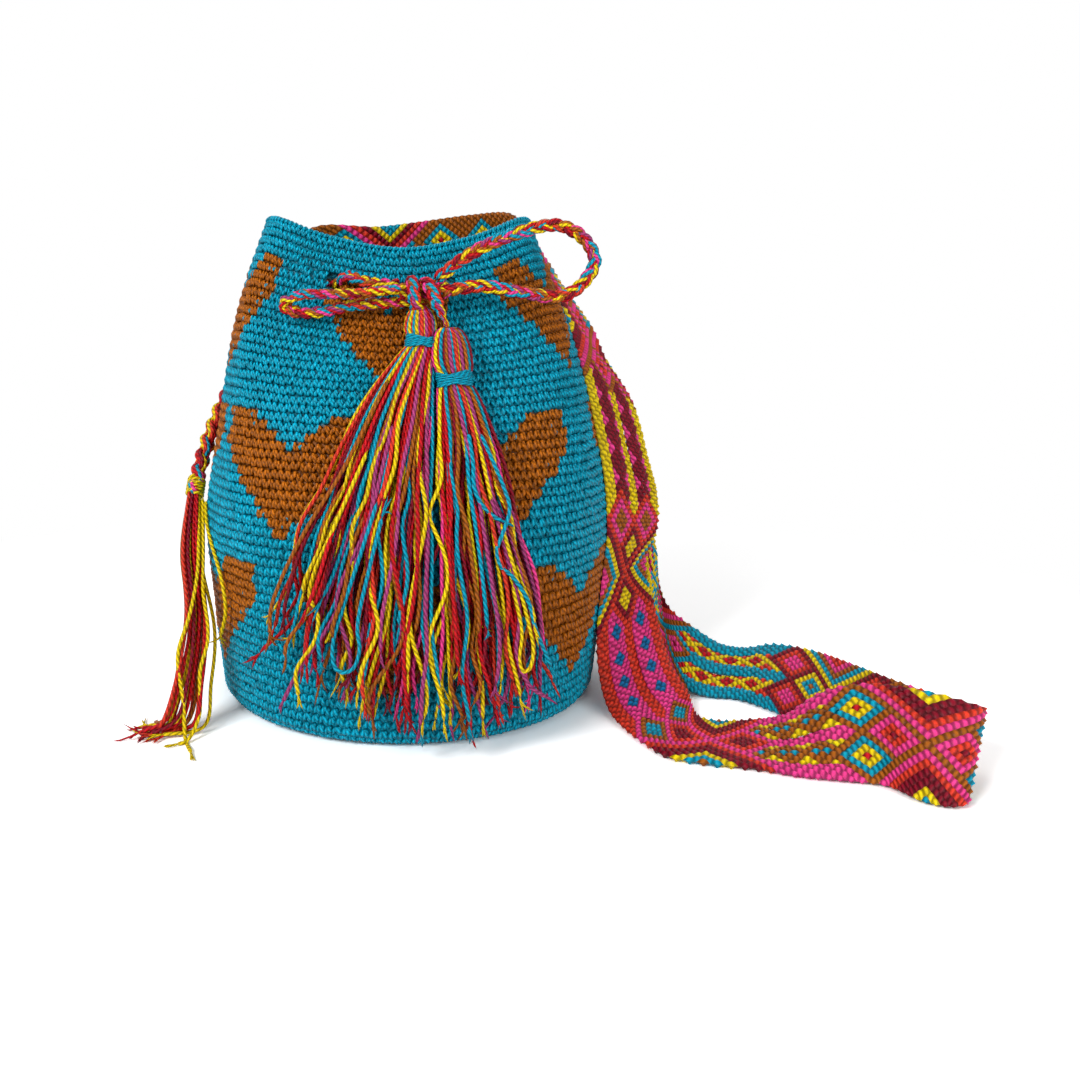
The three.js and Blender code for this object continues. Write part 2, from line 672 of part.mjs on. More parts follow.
// The hearts as fields of colour: each face takes the colour of the place that it lies in
function heartColours(geometry) {
  const split = geometry.toNonIndexed();
  const places = split.attributes.position;
  const colours = [];
  const shade = new THREE.Color();
  for (let f = 0; f < places.count; f += 3) {
    const centre = new THREE.Vector3();
    for (let k = 0; k < 3; k += 1) centre.add(new THREE.Vector3().fromBufferAttribute(places, f + k));
    centre.divideScalar(3);
    const angle = Math.atan2(centre.x, -centre.y) / DEG;
    const share = shareAt(angle, centre.z);
    shade.setHex(inHeart(angle, share) ? caramel : teal);
    for (let k = 0; k < 3; k += 1) colours.push(...shade.toArray());
  }
  split.setAttribute('color', new THREE.Float32BufferAttribute(colours, 3));
  return split;
}

const bag = new THREE.Group();
const body = mesh('bag_body', heartColours(bagBody()), 0xffffff);
body.material.vertexColors = true;
bag.add(body);
bag.add(mesh('strap', strap(), strapPink));
bag.add(mesh('drawstring', cord(drawstringRoute), braidRed));
bag.add(mesh('right_bow_loop', cord(rightLoopRoute), braidRed));
bag.add(mesh('left_bow_loop', cord(leftLoopRoute), braidRed));

const capRow = 2;
const [, rightTassel] = tassels;
const [, capZ, capLeft, capRight, capRadius, capDistance] = rightTassel.head[capRow];
const rightPivot = inFrontOfWall((capLeft + capRight) / 2, capZ, capDistance);
bag.add(mesh('bow_knot', bowKnot(rightPivot, capRadius), braidRed));

for (const tassel of tassels) {
  bag.add(mesh(tassel.name, frontTassel(tassel), braidRed));
  bag.add(mesh(`${tassel.name}_binding`, tasselBinding(tassel), teal));
}
for (const tassel of sideTassels) {
  bag.add(mesh(`${tassel.name}_tassel`, sideTassel(tassel), braidRed));
  bag.add(mesh(`${tassel.name}_wrap`, sideWrap(tassel), threadYellow));
}

export default bag;
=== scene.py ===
"""Crochet bucket bag with a drawstring mouth, thread tassels and a knotted crossbody strap.

Shapes are worked out in millimetres and become metres when a mesh is made. +Z is up, the front is -Y,
and angles round the bag are in degrees from the front, growing towards +X.
"""
import math

import bpy
import numpy as np
from mathutils import Matrix, Vector


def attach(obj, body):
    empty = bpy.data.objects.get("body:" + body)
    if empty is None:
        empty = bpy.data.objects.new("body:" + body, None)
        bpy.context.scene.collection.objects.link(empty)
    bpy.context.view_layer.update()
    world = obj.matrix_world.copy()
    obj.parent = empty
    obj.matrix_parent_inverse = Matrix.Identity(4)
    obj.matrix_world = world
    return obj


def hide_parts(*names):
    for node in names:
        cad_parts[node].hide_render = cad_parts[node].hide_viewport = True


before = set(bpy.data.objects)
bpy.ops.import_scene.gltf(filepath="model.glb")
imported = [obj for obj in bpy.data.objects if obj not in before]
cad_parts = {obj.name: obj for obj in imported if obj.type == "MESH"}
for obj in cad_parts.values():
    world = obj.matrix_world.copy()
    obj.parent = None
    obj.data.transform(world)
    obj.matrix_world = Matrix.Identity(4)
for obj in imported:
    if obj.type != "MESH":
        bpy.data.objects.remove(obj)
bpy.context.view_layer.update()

MM = 0.001
rng = np.random.default_rng(7)

# Bag body: the profile that the solid has too, as radius and height
BASE_RADIUS = 93
BASE_EDGE_RADIUS = 8
SIDE_PROFILE = [(93, 8), (97.5, 48), (100, 97), (86, 166), (64, 228)]
BELLY_RADIUS, BELLY_HEIGHT = SIDE_PROFILE[2]
RIM_HEIGHT = SIDE_PROFILE[-1][1]
SHOULDER_RADIUS = 86
GATHER_START = 0.45

# How the drawn cord moves the round rim, at every 30 degrees from the front
MOUTH_SHIFT = [
    (-3, 17, -12), (-4, 8.4, -7), (-1.6, -2, 3.6), (-4, -2, 3), (-5.8, -2, 0), (-7, -8.4, -5),
    (-5, -13, -8), (-4, -9.4, -4), (-4.4, -4, 2), (-5.8, -4, 3.8), (-6.4, -4, 3.2), (-4, 15.4, -6),
]
EYELET_ANGLES = [-26, 19, 151, 209]
EYELET_PLACE = 0.915
EYELET_RADIUS = 4.3
PUCKER_DEPTH = 3
PUCKER_WIDTH = 9

# Crochet: rounds up the wall and stitches in each round, then the hearts in degrees and shares of the wall
ROUNDS = 56
STITCHES = 144
STITCH_DEGREES = 360 / STITCHES
WALL_BANDS = [
    ("crochet_wall_lower", 0, 19),
    ("crochet_wall_middle", 19, 38),
    ("crochet_wall_upper", 38, ROUNDS),
]
HEART_HEIGHT = 0.23
HEART_DIP = 0.07
# Each row of hearts as the share of the wall at their tips, half their width, and the angles of their middles
HEART_ROWS = [
    (0.107, 24, (-67, -3, 52, 113, 173, 233)),
    (0.393, 27, (-33, 22, 97, 153, 209, 267)),
    (0.696, 22.5, (-71, -5, 60, 118, 176, 233)),
]
# Specks of carried thread: the share of stitches that show one along a heart's right and left border, and the
# thread as (share of the stitch's width, share of the round's height, mm outwards)
SPECK_SHARES = (0.4, 0.12)
SPECK_RADIUS = 0.75
SPECK_THREAD = np.array([
    (-0.1, -0.3, -1.2), (-0.05, -0.15, 0), (0, 0, 0.35), (0.05, 0.15, 0), (0.1, 0.3, -1.2),
])
# Their places, in stitches from the border: between two distances on the right, and up to one on the left
RIGHT_BORDER = (1.6, 2.8)
LEFT_BORDER = 1.7
# The cloth behind the stitches and the bag's inside, as depths in the wall and heights over the floor
BACKING_DEPTH = 1.0
LINING_DEPTH = 3.7
LINING_RIDGE = 0.35
RIM_SKIN_DEPTH = 2.6
RIM_SKIN_RISE = 0.9
BASE_SKIN_HEIGHT = 1.9
BASE_LINING_HEIGHT = 3.7
BASE_RIDGE = 0.3
# Painted shade: the lining keeps this share of the dye's brightness, darkening the holes between stitches and
# the bag's inside
LINING_PAINTED_SHADE = 0.5
# Base: its rounds, the fewest stitches in one, how many each round adds and from where they count, and how
# high their legs lie
BASE_ROUNDS = 19
BASE_FIRST_STITCHES = 6
BASE_GROWTH = 6.2
BASE_START = 0.6
BASE_LEG_HEIGHT = 1.25

# A stitch's left leg as (share of the stitch's width, share of the round's height, mm outwards)
STITCH_LEG = [
    (-0.47, 0.6, -1.7), (-0.39, 0.33, -0.25), (-0.27, 0.02, 0.0), (-0.14, -0.28, -0.3), (-0.07, -0.6, -2.0),
]
STITCH_LEAN = 0.3
STITCH_SHIFT = 0.42
LEG_TAPER = np.array([0, 0.9, 1, 0.9, 0])
# Painted light and shade along a leg, from its top end to its foot: lightest on its upper part, darkest at
# its foot
LEG_PAINTED_SHADE = np.array([0.8, 1.25, 1.08, 0.74, 0.5])
# A leg's radius as a share of its stitch's width, with limits in mm, and the radius on the base and rim in mm
LEG_RADIUS = 0.3
LEG_RADIUS_LIMITS = (0.85, 1.3)
EDGE_LEG_RADIUS = 1.05
# How far a hand's work strays: leg thickness, then places across and up, as shares of the stitch
LEG_UNEVEN = 0.07
STRAY_ACROSS = 0.08
STRAY_UP = 0.07
# How far stitches sink into the wall where it faces down
UNDERSIDE_SINK = 1.1

# A braid's three strands, as shares of its diameter, and where yarns lie in one, as a share of its radius
STRAND_SWING = 0.27
STRAND_RISE = 0.16
STRAND_RADIUS = 0.225
YARN_PLACE = 0.58
# A yarn's radius as a share of its strand's, by the number of yarns in the strand
YARN_RADIUS = {4: 0.62, 6: 0.52}
# Drawstring and bow loops, as the solids run
CORD_DIAMETER = 6
CORD_PITCH = 15
CORD_YARNS = 4
CORD_STEP = 1.3
DRAWSTRING_ROUTE = [
    (12.5, -58.5, 199), (18.5, -51, 198.5), (24, -45, 197.5), (36, -44, 201), (51, -36.5, 207.5),
    (57.5, -24, 210), (59.5, -4.5, 209.5), (56.5, 13.5, 207.5), (50, 28.5, 206), (41.5, 38, 203),
    (29, 42, 201), (25.5, 49.5, 203.5), (22, 57, 205.5), (9.5, 62, 203.5), (-5, 62.5, 203),
    (-19.5, 61.5, 204), (-33, 56, 205.5), (-36.5, 48.5, 204), (-39.5, 41, 202.5), (-51.5, 36.5, 205.5),
    (-60, 27, 208), (-66.5, 10.5, 209.5), (-69, -6.5, 210.5), (-66.5, -23.5, 211), (-62.5, -34, 209),
    (-53.5, -37, 203.5), (-37.5, -36.5, 199.5), (-33, -43.5, 201), (-28.5, -51, 203.5), (-23.5, -54.5, 202),
    (-16, -56.5, 200), (-9.5, -58.5, 199.5), (-4, -59.5, 199),
]
RIGHT_LOOP_ROUTE = [
    (12.6, -67, 201), (20.9, -69, 207.5), (32, -71, 214.5), (49.8, -73, 221.6), (65.4, -74, 224.3),
    (76.5, -74, 218.9), (81.9, -73, 209.2), (76.5, -72, 198.9), (67.6, -71.5, 193.6), (49.8, -71, 195.4),
    (32, -70, 198), (20.9, -69, 196.7), (13.6, -67.5, 195),
]
LEFT_LOOP_ROUTE = [
    (-3.2, -68.5, 197), (-14, -70, 195.6), (-26, -70, 194.6), (-38, -68.5, 194.6), (-48, -65.5, 194.2),
    (-56, -61.5, 190.2), (-50, -62, 186.9), (-40, -63, 186.8), (-28, -64.2, 189), (-15, -65, 190.6),
    (-3.2, -64.5, 190.8),
]
# Bow knot: a fold over the left loop, a turn that runs on as the right tassel's tail, and two cords inside
KNOT_CORD_DIAMETER = 6.6
KNOT_CORD_PITCH = 14
KNOT_CORD_STEP = 1.2
KNOT_CORDS = [
    [
        (-0.5, -60.5, 190), (0.2, -61.5, 196.5), (1.4, -66, 199.8), (2.4, -71, 197), (2.8, -72.5, 192),
        (4.2, -70.5, 187),
    ],
    [
        (5.5, -60.5, 194), (6.4, -63.5, 198), (8.2, -69, 199), (10.4, -73, 196), (12.4, -74.2, 191),
        (14.6, -74.6, 186), (16.6, -74.8, 181.8), (17.5, -74.8, 179.2),
    ],
    [(-5, -66.5, 196.5), (3, -66, 196), (9, -66, 198), (14.5, -66.5, 199.5)],
    [(-5, -64.5, 191.5), (3, -65, 192.5), (9, -66, 194), (15, -67.5, 195)],
]
# The tail narrows over its last mm into the right tassel's head, which leaves the head room to swing
KNOT_TAIL = KNOT_CORDS[1]
TAIL_NARROWING = 12
TAIL_END_SHARE = 0.36

# Tassel threads: their radius, the share of it that they start with, and how far they fill a bundle's depth
THREAD_RADIUS = 0.88
THREAD_START = 0.6
BUNDLE_FILL = 0.82
# How much shorter some threads end, as a share of their length, and a power that makes the shortest ones few
THREAD_SHORTENING = 0.13
SHORTENING_POWER = 1.6
# Points along a thread, its bends as (axis, mm, fewest waves, most waves), and how fast they grow along it
TASSEL_SAMPLES = 84
TASSEL_SWAY = [(0, 3.2, 0.4, 1.1), (0, 2.8, 1.4, 3), (1, 1.6, 0.8, 2), (0, 1.2, 3, 6)]
SWAY_POWER = 1.2
# Frayed ends: three thin threads each, on the way of the end, of which some part widely
FRAY_REACH = 6
FRAY_THREADS = 3
FRAY_LENGTHS = (0.5, 1.3)
FRAY_WIDE_SHARE = 0.3
FRAY_SPREADS = (0.5, 0.15)
FRAY_STEPS = np.array([-0.35, 0.1, 0.4, 0.75, 1.0])
FRAY_RADII = np.array([0, 0.55, 0.5, 0.4, 0])
FRAY_FLOOR = 0.6

# Front tassels: rows as (left z, right z, left x, right x, half depth, distance from the wall)
TASSEL_CLEARANCE = 1.6
LEFT_THREADS = 96
RIGHT_THREADS = 78
BINDING_TURNS = 4
BINDING_SHADE = 0.95
# Layers of threads, as nearest and furthest depth, that take the front's colours in turn
FRONT_LAYERS = ((1, 0.5), (0.5, 0.1))
LEFT_TASSEL = {
    "head": [
        (189.5, 189.5, 3.6, 7, 1.5, 9.9), (187.5, 187.5, 1.4, 9.4, 3.4, 9.2),
        (183.5, 183.5, -0.6, 11.6, 5, 8.6), (179, 179, -1.2, 12, 5.6, 8.4),
        (176.6, 176.6, -0.4, 11.8, 4.8, 7.6),
    ],
    "neck": [(175.8, 175.8, 0.6, 11, 4.2, 7.4), (172.2, 172.2, 0.6, 11, 4.2, 7.4)],
    "skirt": [
        (170.8, 170.8, -1.4, 11.8, 5), (160, 160, -10, 12, 5.6), (140, 140, -22.5, 12.2, 5.8),
        (118, 118, -33, 12.2, 5.8), (100, 98, -41, 12.2, 5.8), (80, 60, -49, 12.2, 5.8),
        (62, 34, -55, 12.2, 5.6), (46, 9, -58, 12.2, 5.2),
    ],
    "tilt": -0.28,
}
RIGHT_TASSEL = {
    "head": [
        (179.8, 179.8, 15.4, 19.8, 1.6, 11.6), (177.6, 177.6, 12.6, 23.6, 2.2, 11),
        (172.5, 172.5, 11, 26.2, 5.4, 10.4), (165.5, 165.5, 10.8, 27.4, 6.4, 10),
        (161.6, 161.6, 12.4, 27.2, 5.6, 9),
    ],
    "neck": [(160.2, 160.2, 13.8, 26, 4.4, 8.6), (156, 156, 13.8, 26, 4.4, 8.6)],
    "skirt": [
        (154, 154, 12.8, 28, 5.8), (145, 145, 12.6, 32.5, 6), (130, 130, 12.6, 37.6, 6),
        (114, 114, 12.6, 42, 6), (97, 97, 12.8, 46.4, 6), (66, 66, 12.8, 54, 6), (36, 44, 12.8, 58.4, 5.8),
        (9, 28, 12.8, 60.6, 5.2),
    ],
    "tilt": 0.25,
}

# Strap: width and thickness, how far it is sewn from the wall, and where it stands behind the mouth
STRAP_WIDTH = 46
STRAP_THICKNESS = 3
SEWN = 2.6
FLOOR = 1.6
STRAP_TOP = RIM_HEIGHT + 12.5
STRAP_RIM_DISTANCE = 6
CORD_CLEAR = 10
# Strap knots: columns across, mm from row to row along, and the columns at which its strips part
KNOT_COLUMNS = 24
KNOT_STEP = STRAP_WIDTH / KNOT_COLUMNS
KNOT_LENGTH = 2.2
KNOT_PITCH = math.hypot(KNOT_STEP, KNOT_LENGTH)
KNOT_SLANT = 0.45
STRIP_EDGES = np.array([0, 4, 10, 14, 20, 24])
STRIP_LIFT = np.array([0, 0.9, -0.6, 0.9, 0])
# A knot's height and painted light and shade at its middle, at the middles of its four edges, and at its
# corners
KNOT_RELIEF = (0.78, -0.08, -0.56)
# Painted light and shade: each knot lighter at its middle and darker towards its corners, where knots meet
KNOT_PAINTED_SHADE = (1.1, 0.8, 0.6)
# How far knots sit inside the band's faces, how uneven their middles are, and their least height
KNOT_INSET = 0.5
KNOT_UNEVEN = 0.1
KNOT_LEAST = 0.3
# An edge knot's bulge past the edge, in columns: on a straight edge, and more at a knot's corner
EDGE_BULGE = 0.12
CORNER_BULGE = 0.25
# Painted shade on the knots' outer points along the band's edges, and how much darker it is beside a slit
EDGE_PAINTED_SHADE = 0.9
SLIT_PAINTED_SHADE = 0.4
# How far a strip lies over its neighbours beside a slit
STRIP_OVERLAP = 0.25
STRIP_CROWN = 0.7
# Rows between a strip stretch's first row and its slits
SLIT_INSET = 3
STRAP_SAMPLES = 2400

# Side tassels: the yellow wrap's place on the route, the plait, and the loose threads
WRAP_SHARES = (0.375, 0.425)
WRAP_RADIUS = 3.8
WRAP_TURNS = 5
WRAP_THREAD_RADIUS = 0.85
WRAP_SAMPLES = 200
PLAIT_WIDTH = 9.6
PLAIT_PITCH = 30
PLAIT_YARNS = 6
PLAIT_SAMPLES = 90
ROUTE_SAMPLES = 400
LEFT_LOOSE_THREADS = 17
RIGHT_LOOSE_THREADS = 18
LOOSE_SAMPLES = 70
LOOSE_FILL = 0.86
LOOSE_SWAY = [(0, 1.6, 0.5, 1.6), (0, 0.8, 2, 4), (1, 1.4, 0.6, 1.8)]
# Where the loose threads end: along the tassel's way on the floor, to both sides of it, and over the floor
LOOSE_REACH = (2, 17)
LOOSE_SPREAD = 8
LOOSE_HEIGHTS = (1, 3)
LOOSE_FLOOR = 1.0
# The loose bundle as (share of the route, half width, half depth), then the routes as (angle, height,
# distance from the wall)
STRAND_ROWS = [
    (0.375, 2.6, 2.6), (0.44, 4.2, 4.2), (0.58, 5.6, 6.5), (0.75, 6.2, 8), (0.9, 5.6, 9.5), (1, 4.6, 10.5),
]
LEFT_BRAID_ROUTE = [
    (-110, 152.5, 5), (-104, 143, 7.3), (-96, 128, 7.3), (-88, 113, 7.3), (-80, 100, 7.3),
    (-72, 76, 9.4), (-64.5, 51, 11.6), (-57.5, 27, 21), (-54, 9.5, 32),
]
RIGHT_BRAID_ROUTE = [
    (137, 136.5, 4.6), (141, 124, 7.3), (143, 110, 7.3), (144, 96, 7.3),
    (144, 66, 9.6), (144, 36, 12.5), (144, 8, 16.5),
]
# Which way each side tassel's ends lie on the floor, and the left one's long threads as places in space
LEFT_FLOOR_WAY = (-0.99, 0.1, 0)
RIGHT_FLOOR_WAY = (0.6, 0.8, 0)
LEFT_BRAID_STRAYS = [
    ("yellow", [
        (-103.5, -20, 101), (-100.5, -34, 81.7), (-98.7, -46, 65), (-100, -56, 49.3), (-103.6, -64, 34.3),
        (-103, -67, 27), (-99.5, -73, 15), (-97.4, -79, 1.4), (-91.2, -95, 1),
    ]),
    ("yellow", [
        (-101, -22, 98), (-97.5, -38, 75), (-95.4, -49, 57.2), (-91.8, -57, 45.2), (-91, -61, 37.5),
        (-93.4, -66, 26.2), (-92.3, -74, 8.5), (-95.6, -83, 1.2), (-99, -86, 1),
    ]),
    ("yellow", [
        (-99, -25, 96), (-96, -36, 85.6), (-85, -56.5, 63), (-83.5, -57.6, 50.5), (-86.5, -54, 38.5),
    ]),
]

# Dyed thread colours, as sRGB
DYES = {
    "teal": "#009cba",
    "blue": "#0b6ea6",
    "caramel": "#a85c0c",
    "brown": "#a65a12",
    "yellow": "#efcf0c",
    "orange": "#dc3a26",
    "red": "#c1101c",
    "dark red": "#820a22",
    "pink": "#f2408f",
    "mauve": "#a83f78",
}
# How unevenly each kind of thread took up its dye
UNEVEN_DYE = {"wall": 0.12, "speck": 0.1, "edge": 0.06, "cord": 0.05, "tassel": 0.08, "strap": 0.08}


def linear(colour):
    """A hex sRGB colour as linear red, green and blue."""
    shares = [int(colour[k:k + 2], 16) / 255 for k in (1, 3, 5)]
    return np.array([s / 12.92 if s <= 0.04045 else ((s + 0.055) / 1.055) ** 2.4 for s in shares])


DYE = {name: linear(colour) for name, colour in DYES.items()}


def unit(vectors):
    return vectors / np.maximum(np.linalg.norm(vectors, axis=-1, keepdims=True), 1e-9)


def spline(points, places, power=0.25, closed=False):
    """Points of a Catmull-Rom line at places from 0 to 1; power 0.25 is centripetal and 0 is uniform."""
    points = np.asarray(points, float)
    places = np.asarray(places, float)
    spans = len(points) if closed else len(points) - 1
    if closed:
        before, after = points[-1:], points[:2]
    else:
        before, after = [2 * points[0] - points[1]], [2 * points[-1] - points[-2]]
    padded = np.vstack([before, points, after])
    span = np.clip((places * spans).astype(int), 0, spans - 1)
    t = (places * spans - span)[..., None]
    p0, p1, p2, p3 = (padded[span + k] for k in range(4))
    d0, d1, d2 = (
        np.maximum(((b - a) ** 2).sum(-1, keepdims=True), 1e-9) ** power
        for a, b in ((p0, p1), (p1, p2), (p2, p3))
    )
    m1 = ((p1 - p0) / d0 - (p2 - p0) / (d0 + d1) + (p2 - p1) / d1) * d1
    m2 = ((p2 - p1) / d1 - (p3 - p1) / (d1 + d2) + (p3 - p2) / d2) * d1
    return p1 + m1 * t + (3 * (p2 - p1) - 2 * m1 - m2) * t ** 2 + (2 * (p1 - p2) + m1 + m2) * t ** 3


def lengths_along(line):
    return np.concatenate([[0], np.cumsum(np.linalg.norm(np.diff(line, axis=0), axis=1))])


def even_line(route, step):
    """A smooth line through a route's points, resampled evenly."""
    dense = spline(route, np.linspace(0, 1, 40 * len(route)))
    lengths = lengths_along(dense)
    places = np.linspace(0, lengths[-1], int(lengths[-1] / step) + 2)
    return np.column_stack([np.interp(places, lengths, dense[:, k]) for k in range(3)])


# The wall
def wall_profile():
    turn = np.linspace(0, math.pi / 2, 7)[:-1]
    flat = BASE_RADIUS - BASE_EDGE_RADIUS
    edge = np.column_stack([flat + BASE_EDGE_RADIUS * np.sin(turn), BASE_EDGE_RADIUS * (1 - np.cos(turn))])
    return np.vstack([edge, spline(SIDE_PROFILE, np.linspace(0, 1, 61), power=0)])


PROFILE = wall_profile()
PROFILE_LENGTHS = lengths_along(PROFILE)
WALL_LENGTH = PROFILE_LENGTHS[-1]


def turn_between(a, b):
    """The signed turn from angle b to angle a, in degrees."""
    return (a - b + 180) % 360 - 180


def wall_point(angle, share):
    angle, share = np.broadcast_arrays(np.asarray(angle, float), np.asarray(share, float))
    radius = np.interp(share * WALL_LENGTH, PROFILE_LENGTHS, PROFILE[:, 0])
    height = np.interp(share * WALL_LENGTH, PROFILE_LENGTHS, PROFILE[:, 1])
    part = np.clip((share - GATHER_START) / (1 - GATHER_START), 0, 1)
    lift = (part ** 3 * (part * (6 * part - 15) + 10))[..., None]
    for eyelet in EYELET_ANGLES:
        across = np.radians(turn_between(angle, eyelet)) * radius
        along = (share - EYELET_PLACE) * WALL_LENGTH
        radius = radius - PUCKER_DEPTH * np.exp(-(across ** 2 + along ** 2) / (2 * PUCKER_WIDTH ** 2))
    turn = np.radians(angle)
    round_point = np.stack([radius * np.sin(turn), -radius * np.cos(turn), height], -1)
    return round_point + lift * spline(MOUTH_SHIFT, (angle / 360) % 1, power=0, closed=True)


def wall_normal(angle, share):
    angle, share = np.broadcast_arrays(np.asarray(angle, float), np.asarray(share, float))
    around = wall_point(angle + 1, share) - wall_point(angle - 1, share)
    up = wall_point(angle, np.minimum(share + 0.01, 1)) - wall_point(angle, np.maximum(share - 0.01, 0))
    return unit(np.cross(around, up))


def off_wall(angle, share, distance):
    distance = np.asarray(distance, float)[..., None]
    return wall_point(angle, share) + wall_normal(angle, share) * distance


def share_at(angle, height):
    angle, height = np.broadcast_arrays(np.asarray(angle, float), np.asarray(height, float))
    low, high = np.zeros(angle.shape), np.ones(angle.shape)
    for _ in range(24):
        middle = (low + high) / 2
        below = wall_point(angle, middle)[..., 2] < height
        low, high = np.where(below, middle, low), np.where(below, high, middle)
    return (low + high) / 2


def on_wall(angle, height, distance):
    return off_wall(angle, share_at(angle, height), distance)


def in_front_of_wall(x, z, distance):
    """Points at x and z, a distance in front of the wall, and below the belly in front of the belly."""
    height = np.maximum(z, BELLY_HEIGHT)
    angle = np.zeros(np.shape(x))
    for _ in range(6):
        place = wall_point(angle, share_at(angle, height))
        side = place[..., 0] + distance * np.sin(np.radians(angle))
        front = place[..., 1] - distance * np.cos(np.radians(angle))
        angle = angle + (x - side) / np.radians(BELLY_RADIUS)
    return np.stack([x, front, z], -1)


def in_heart(angle, share):
    found = np.zeros(np.broadcast(angle, share).shape, bool)
    for tip, half_width, middles in HEART_ROWS:
        side = np.min([np.abs(turn_between(angle, middle)) for middle in middles], axis=0)
        up = share - tip
        top = HEART_HEIGHT - HEART_DIP * np.maximum(0, 1 - side / (half_width / 2))
        taper = side / half_width * (HEART_HEIGHT - HEART_DIP)
        found |= (side < half_width) & (up < top) & (up > taper)
    return found


def near_eyelet(angle, share, reach):
    found = np.zeros(np.broadcast(angle, share).shape, bool)
    radius = np.interp(EYELET_PLACE * WALL_LENGTH, PROFILE_LENGTHS, PROFILE[:, 0])
    for eyelet in EYELET_ANGLES:
        across = np.radians(turn_between(angle, eyelet)) * radius
        along = (share - EYELET_PLACE) * WALL_LENGTH
        found |= np.hypot(across, along) < reach
    return found


# Making pieces
def make_piece(name, points, faces, colours, material, body="bag", uv=None):
    """A smooth mesh piece with a dye colour on each point, riding on a body."""
    mesh = bpy.data.meshes.new(name)
    mesh.from_pydata((points * MM).tolist(), [], faces.tolist())
    mesh.polygons.foreach_set("use_smooth", np.ones(len(mesh.polygons), bool))
    dye = mesh.attributes.new("dye", "FLOAT_COLOR", "POINT")
    dye.data.foreach_set("color", np.column_stack([colours, np.ones(len(colours))]).astype("f").ravel())
    if uv is not None:
        mesh.uv_layers.new(name="thread").data.foreach_set("uv", uv.astype("f").ravel())
    mesh.materials.append(material)
    piece = bpy.data.objects.new(name, mesh)
    bpy.context.scene.collection.objects.link(piece)
    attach(piece, body)
    return piece


def threads(paths, radii, colours, sides=5):
    """Round threads along paths (thread, sample, xyz), closed to a point at each end.

    Gives points, triangles, a colour for each point, and uv with turns round the thread and mm along it.
    """
    count, samples, _ = paths.shape
    radii = np.broadcast_to(radii, (count, samples))
    tangents = unit(np.gradient(paths, axis=1))
    spare = np.eye(3)[np.abs(tangents[:, 0]).argmin(1)]
    normal = unit(np.cross(tangents[:, 0], spare))
    normals = np.empty_like(paths)
    for k in range(samples):
        normal = unit(normal - (normal * tangents[:, k]).sum(1, keepdims=True) * tangents[:, k])
        normals[:, k] = normal
    others = np.cross(tangents, normals)
    turn = np.linspace(0, 2 * math.pi, sides, endpoint=False)[:, None]
    ring = np.cos(turn) * normals[:, 1:-1, None] + np.sin(turn) * others[:, 1:-1, None]
    rings = paths[:, 1:-1, None] + radii[:, 1:-1, None, None] * ring
    points = np.concatenate([paths[:, :1], rings.reshape(count, -1, 3), paths[:, -1:]], axis=1)
    last = points.shape[1] - 1
    faces, around, along = [], [], []
    for k in range(sides):
        after = (k + 1) % sides
        faces += [(0, 1 + after, 1 + k), (last, last - sides + k, last - sides + after)]
        around += [(k + 0.5, k + 1, k), (k + 0.5, k, k + 1)]
        along += [(0, 1, 1), (samples - 1, samples - 2, samples - 2)]
        for r in range(samples - 3):
            a, b = 1 + r * sides + k, 1 + r * sides + after
            faces += [(a, b, b + sides), (a, b + sides, a + sides)]
            around += [(k, k + 1, k + 1), (k, k + 1, k)]
            along += [(r + 1, r + 1, r + 2), (r + 1, r + 2, r + 2)]
    steps = np.linalg.norm(np.diff(paths, axis=1), axis=2)
    lengths = np.concatenate([np.zeros((count, 1)), np.cumsum(steps, axis=1)], axis=1)
    v = lengths[:, np.array(along)]
    u = np.broadcast_to(np.array(around) / sides, v.shape)
    all_faces = np.array(faces)[None] + (np.arange(count) * (last + 1))[:, None, None]
    colours = np.asarray(colours, float)
    if colours.ndim == 2:
        colours = np.broadcast_to(colours[:, None], (count, samples, 3))
    ring_colours = np.repeat(colours[:, 1:-1], sides, axis=1)
    point_colours = np.concatenate([colours[:, :1], ring_colours, colours[:, -1:]], axis=1)
    uv = np.stack([u, v], -1).reshape(-1, 2)
    return points.reshape(-1, 3), all_faces.reshape(-1, 3), point_colours.reshape(-1, 3), uv


def joined(*parts):
    """Several results of threads as one."""
    starts = np.cumsum([0] + [len(part[0]) for part in parts[:-1]])
    return (
        np.vstack([part[0] for part in parts]),
        np.vstack([part[1] + start for part, start in zip(parts, starts)]),
        np.vstack([part[2] for part in parts]),
        np.vstack([part[3] for part in parts]),
    )


def thread_piece(name, parts, material, body="bag"):
    points, faces, colours, uv = joined(*parts)
    return make_piece(name, points, faces, colours, material, body, uv)


def varied(colours, amount):
    """Dye colours with the uneven take-up of each thread."""
    return np.clip(colours * (1 + amount * rng.standard_normal((len(colours), 1))), 0, 1)


# Materials: painted shade between plies and painted highlight on them, shades of fibre streaks, and weak
# shine
PLY_PAINTED_SHADES = (0.45, 1.1)
STREAK_SHADES = (0.8, 1.18)
COTTON_SHINE = 0.15


def add(tree, kind, settings=(), **inputs):
    """Adds a node with its settings, and sets or links its inputs."""
    node = tree.nodes.new(kind)
    for key, value in dict(settings).items():
        setattr(node, key, value)
    for key, value in inputs.items():
        socket = node.inputs[int(key[1:])] if key[1:].isdigit() else node.inputs[key.replace("_", " ")]
        if isinstance(value, bpy.types.NodeSocket):
            tree.links.new(value, socket)
        else:
            socket.default_value = value
    return node


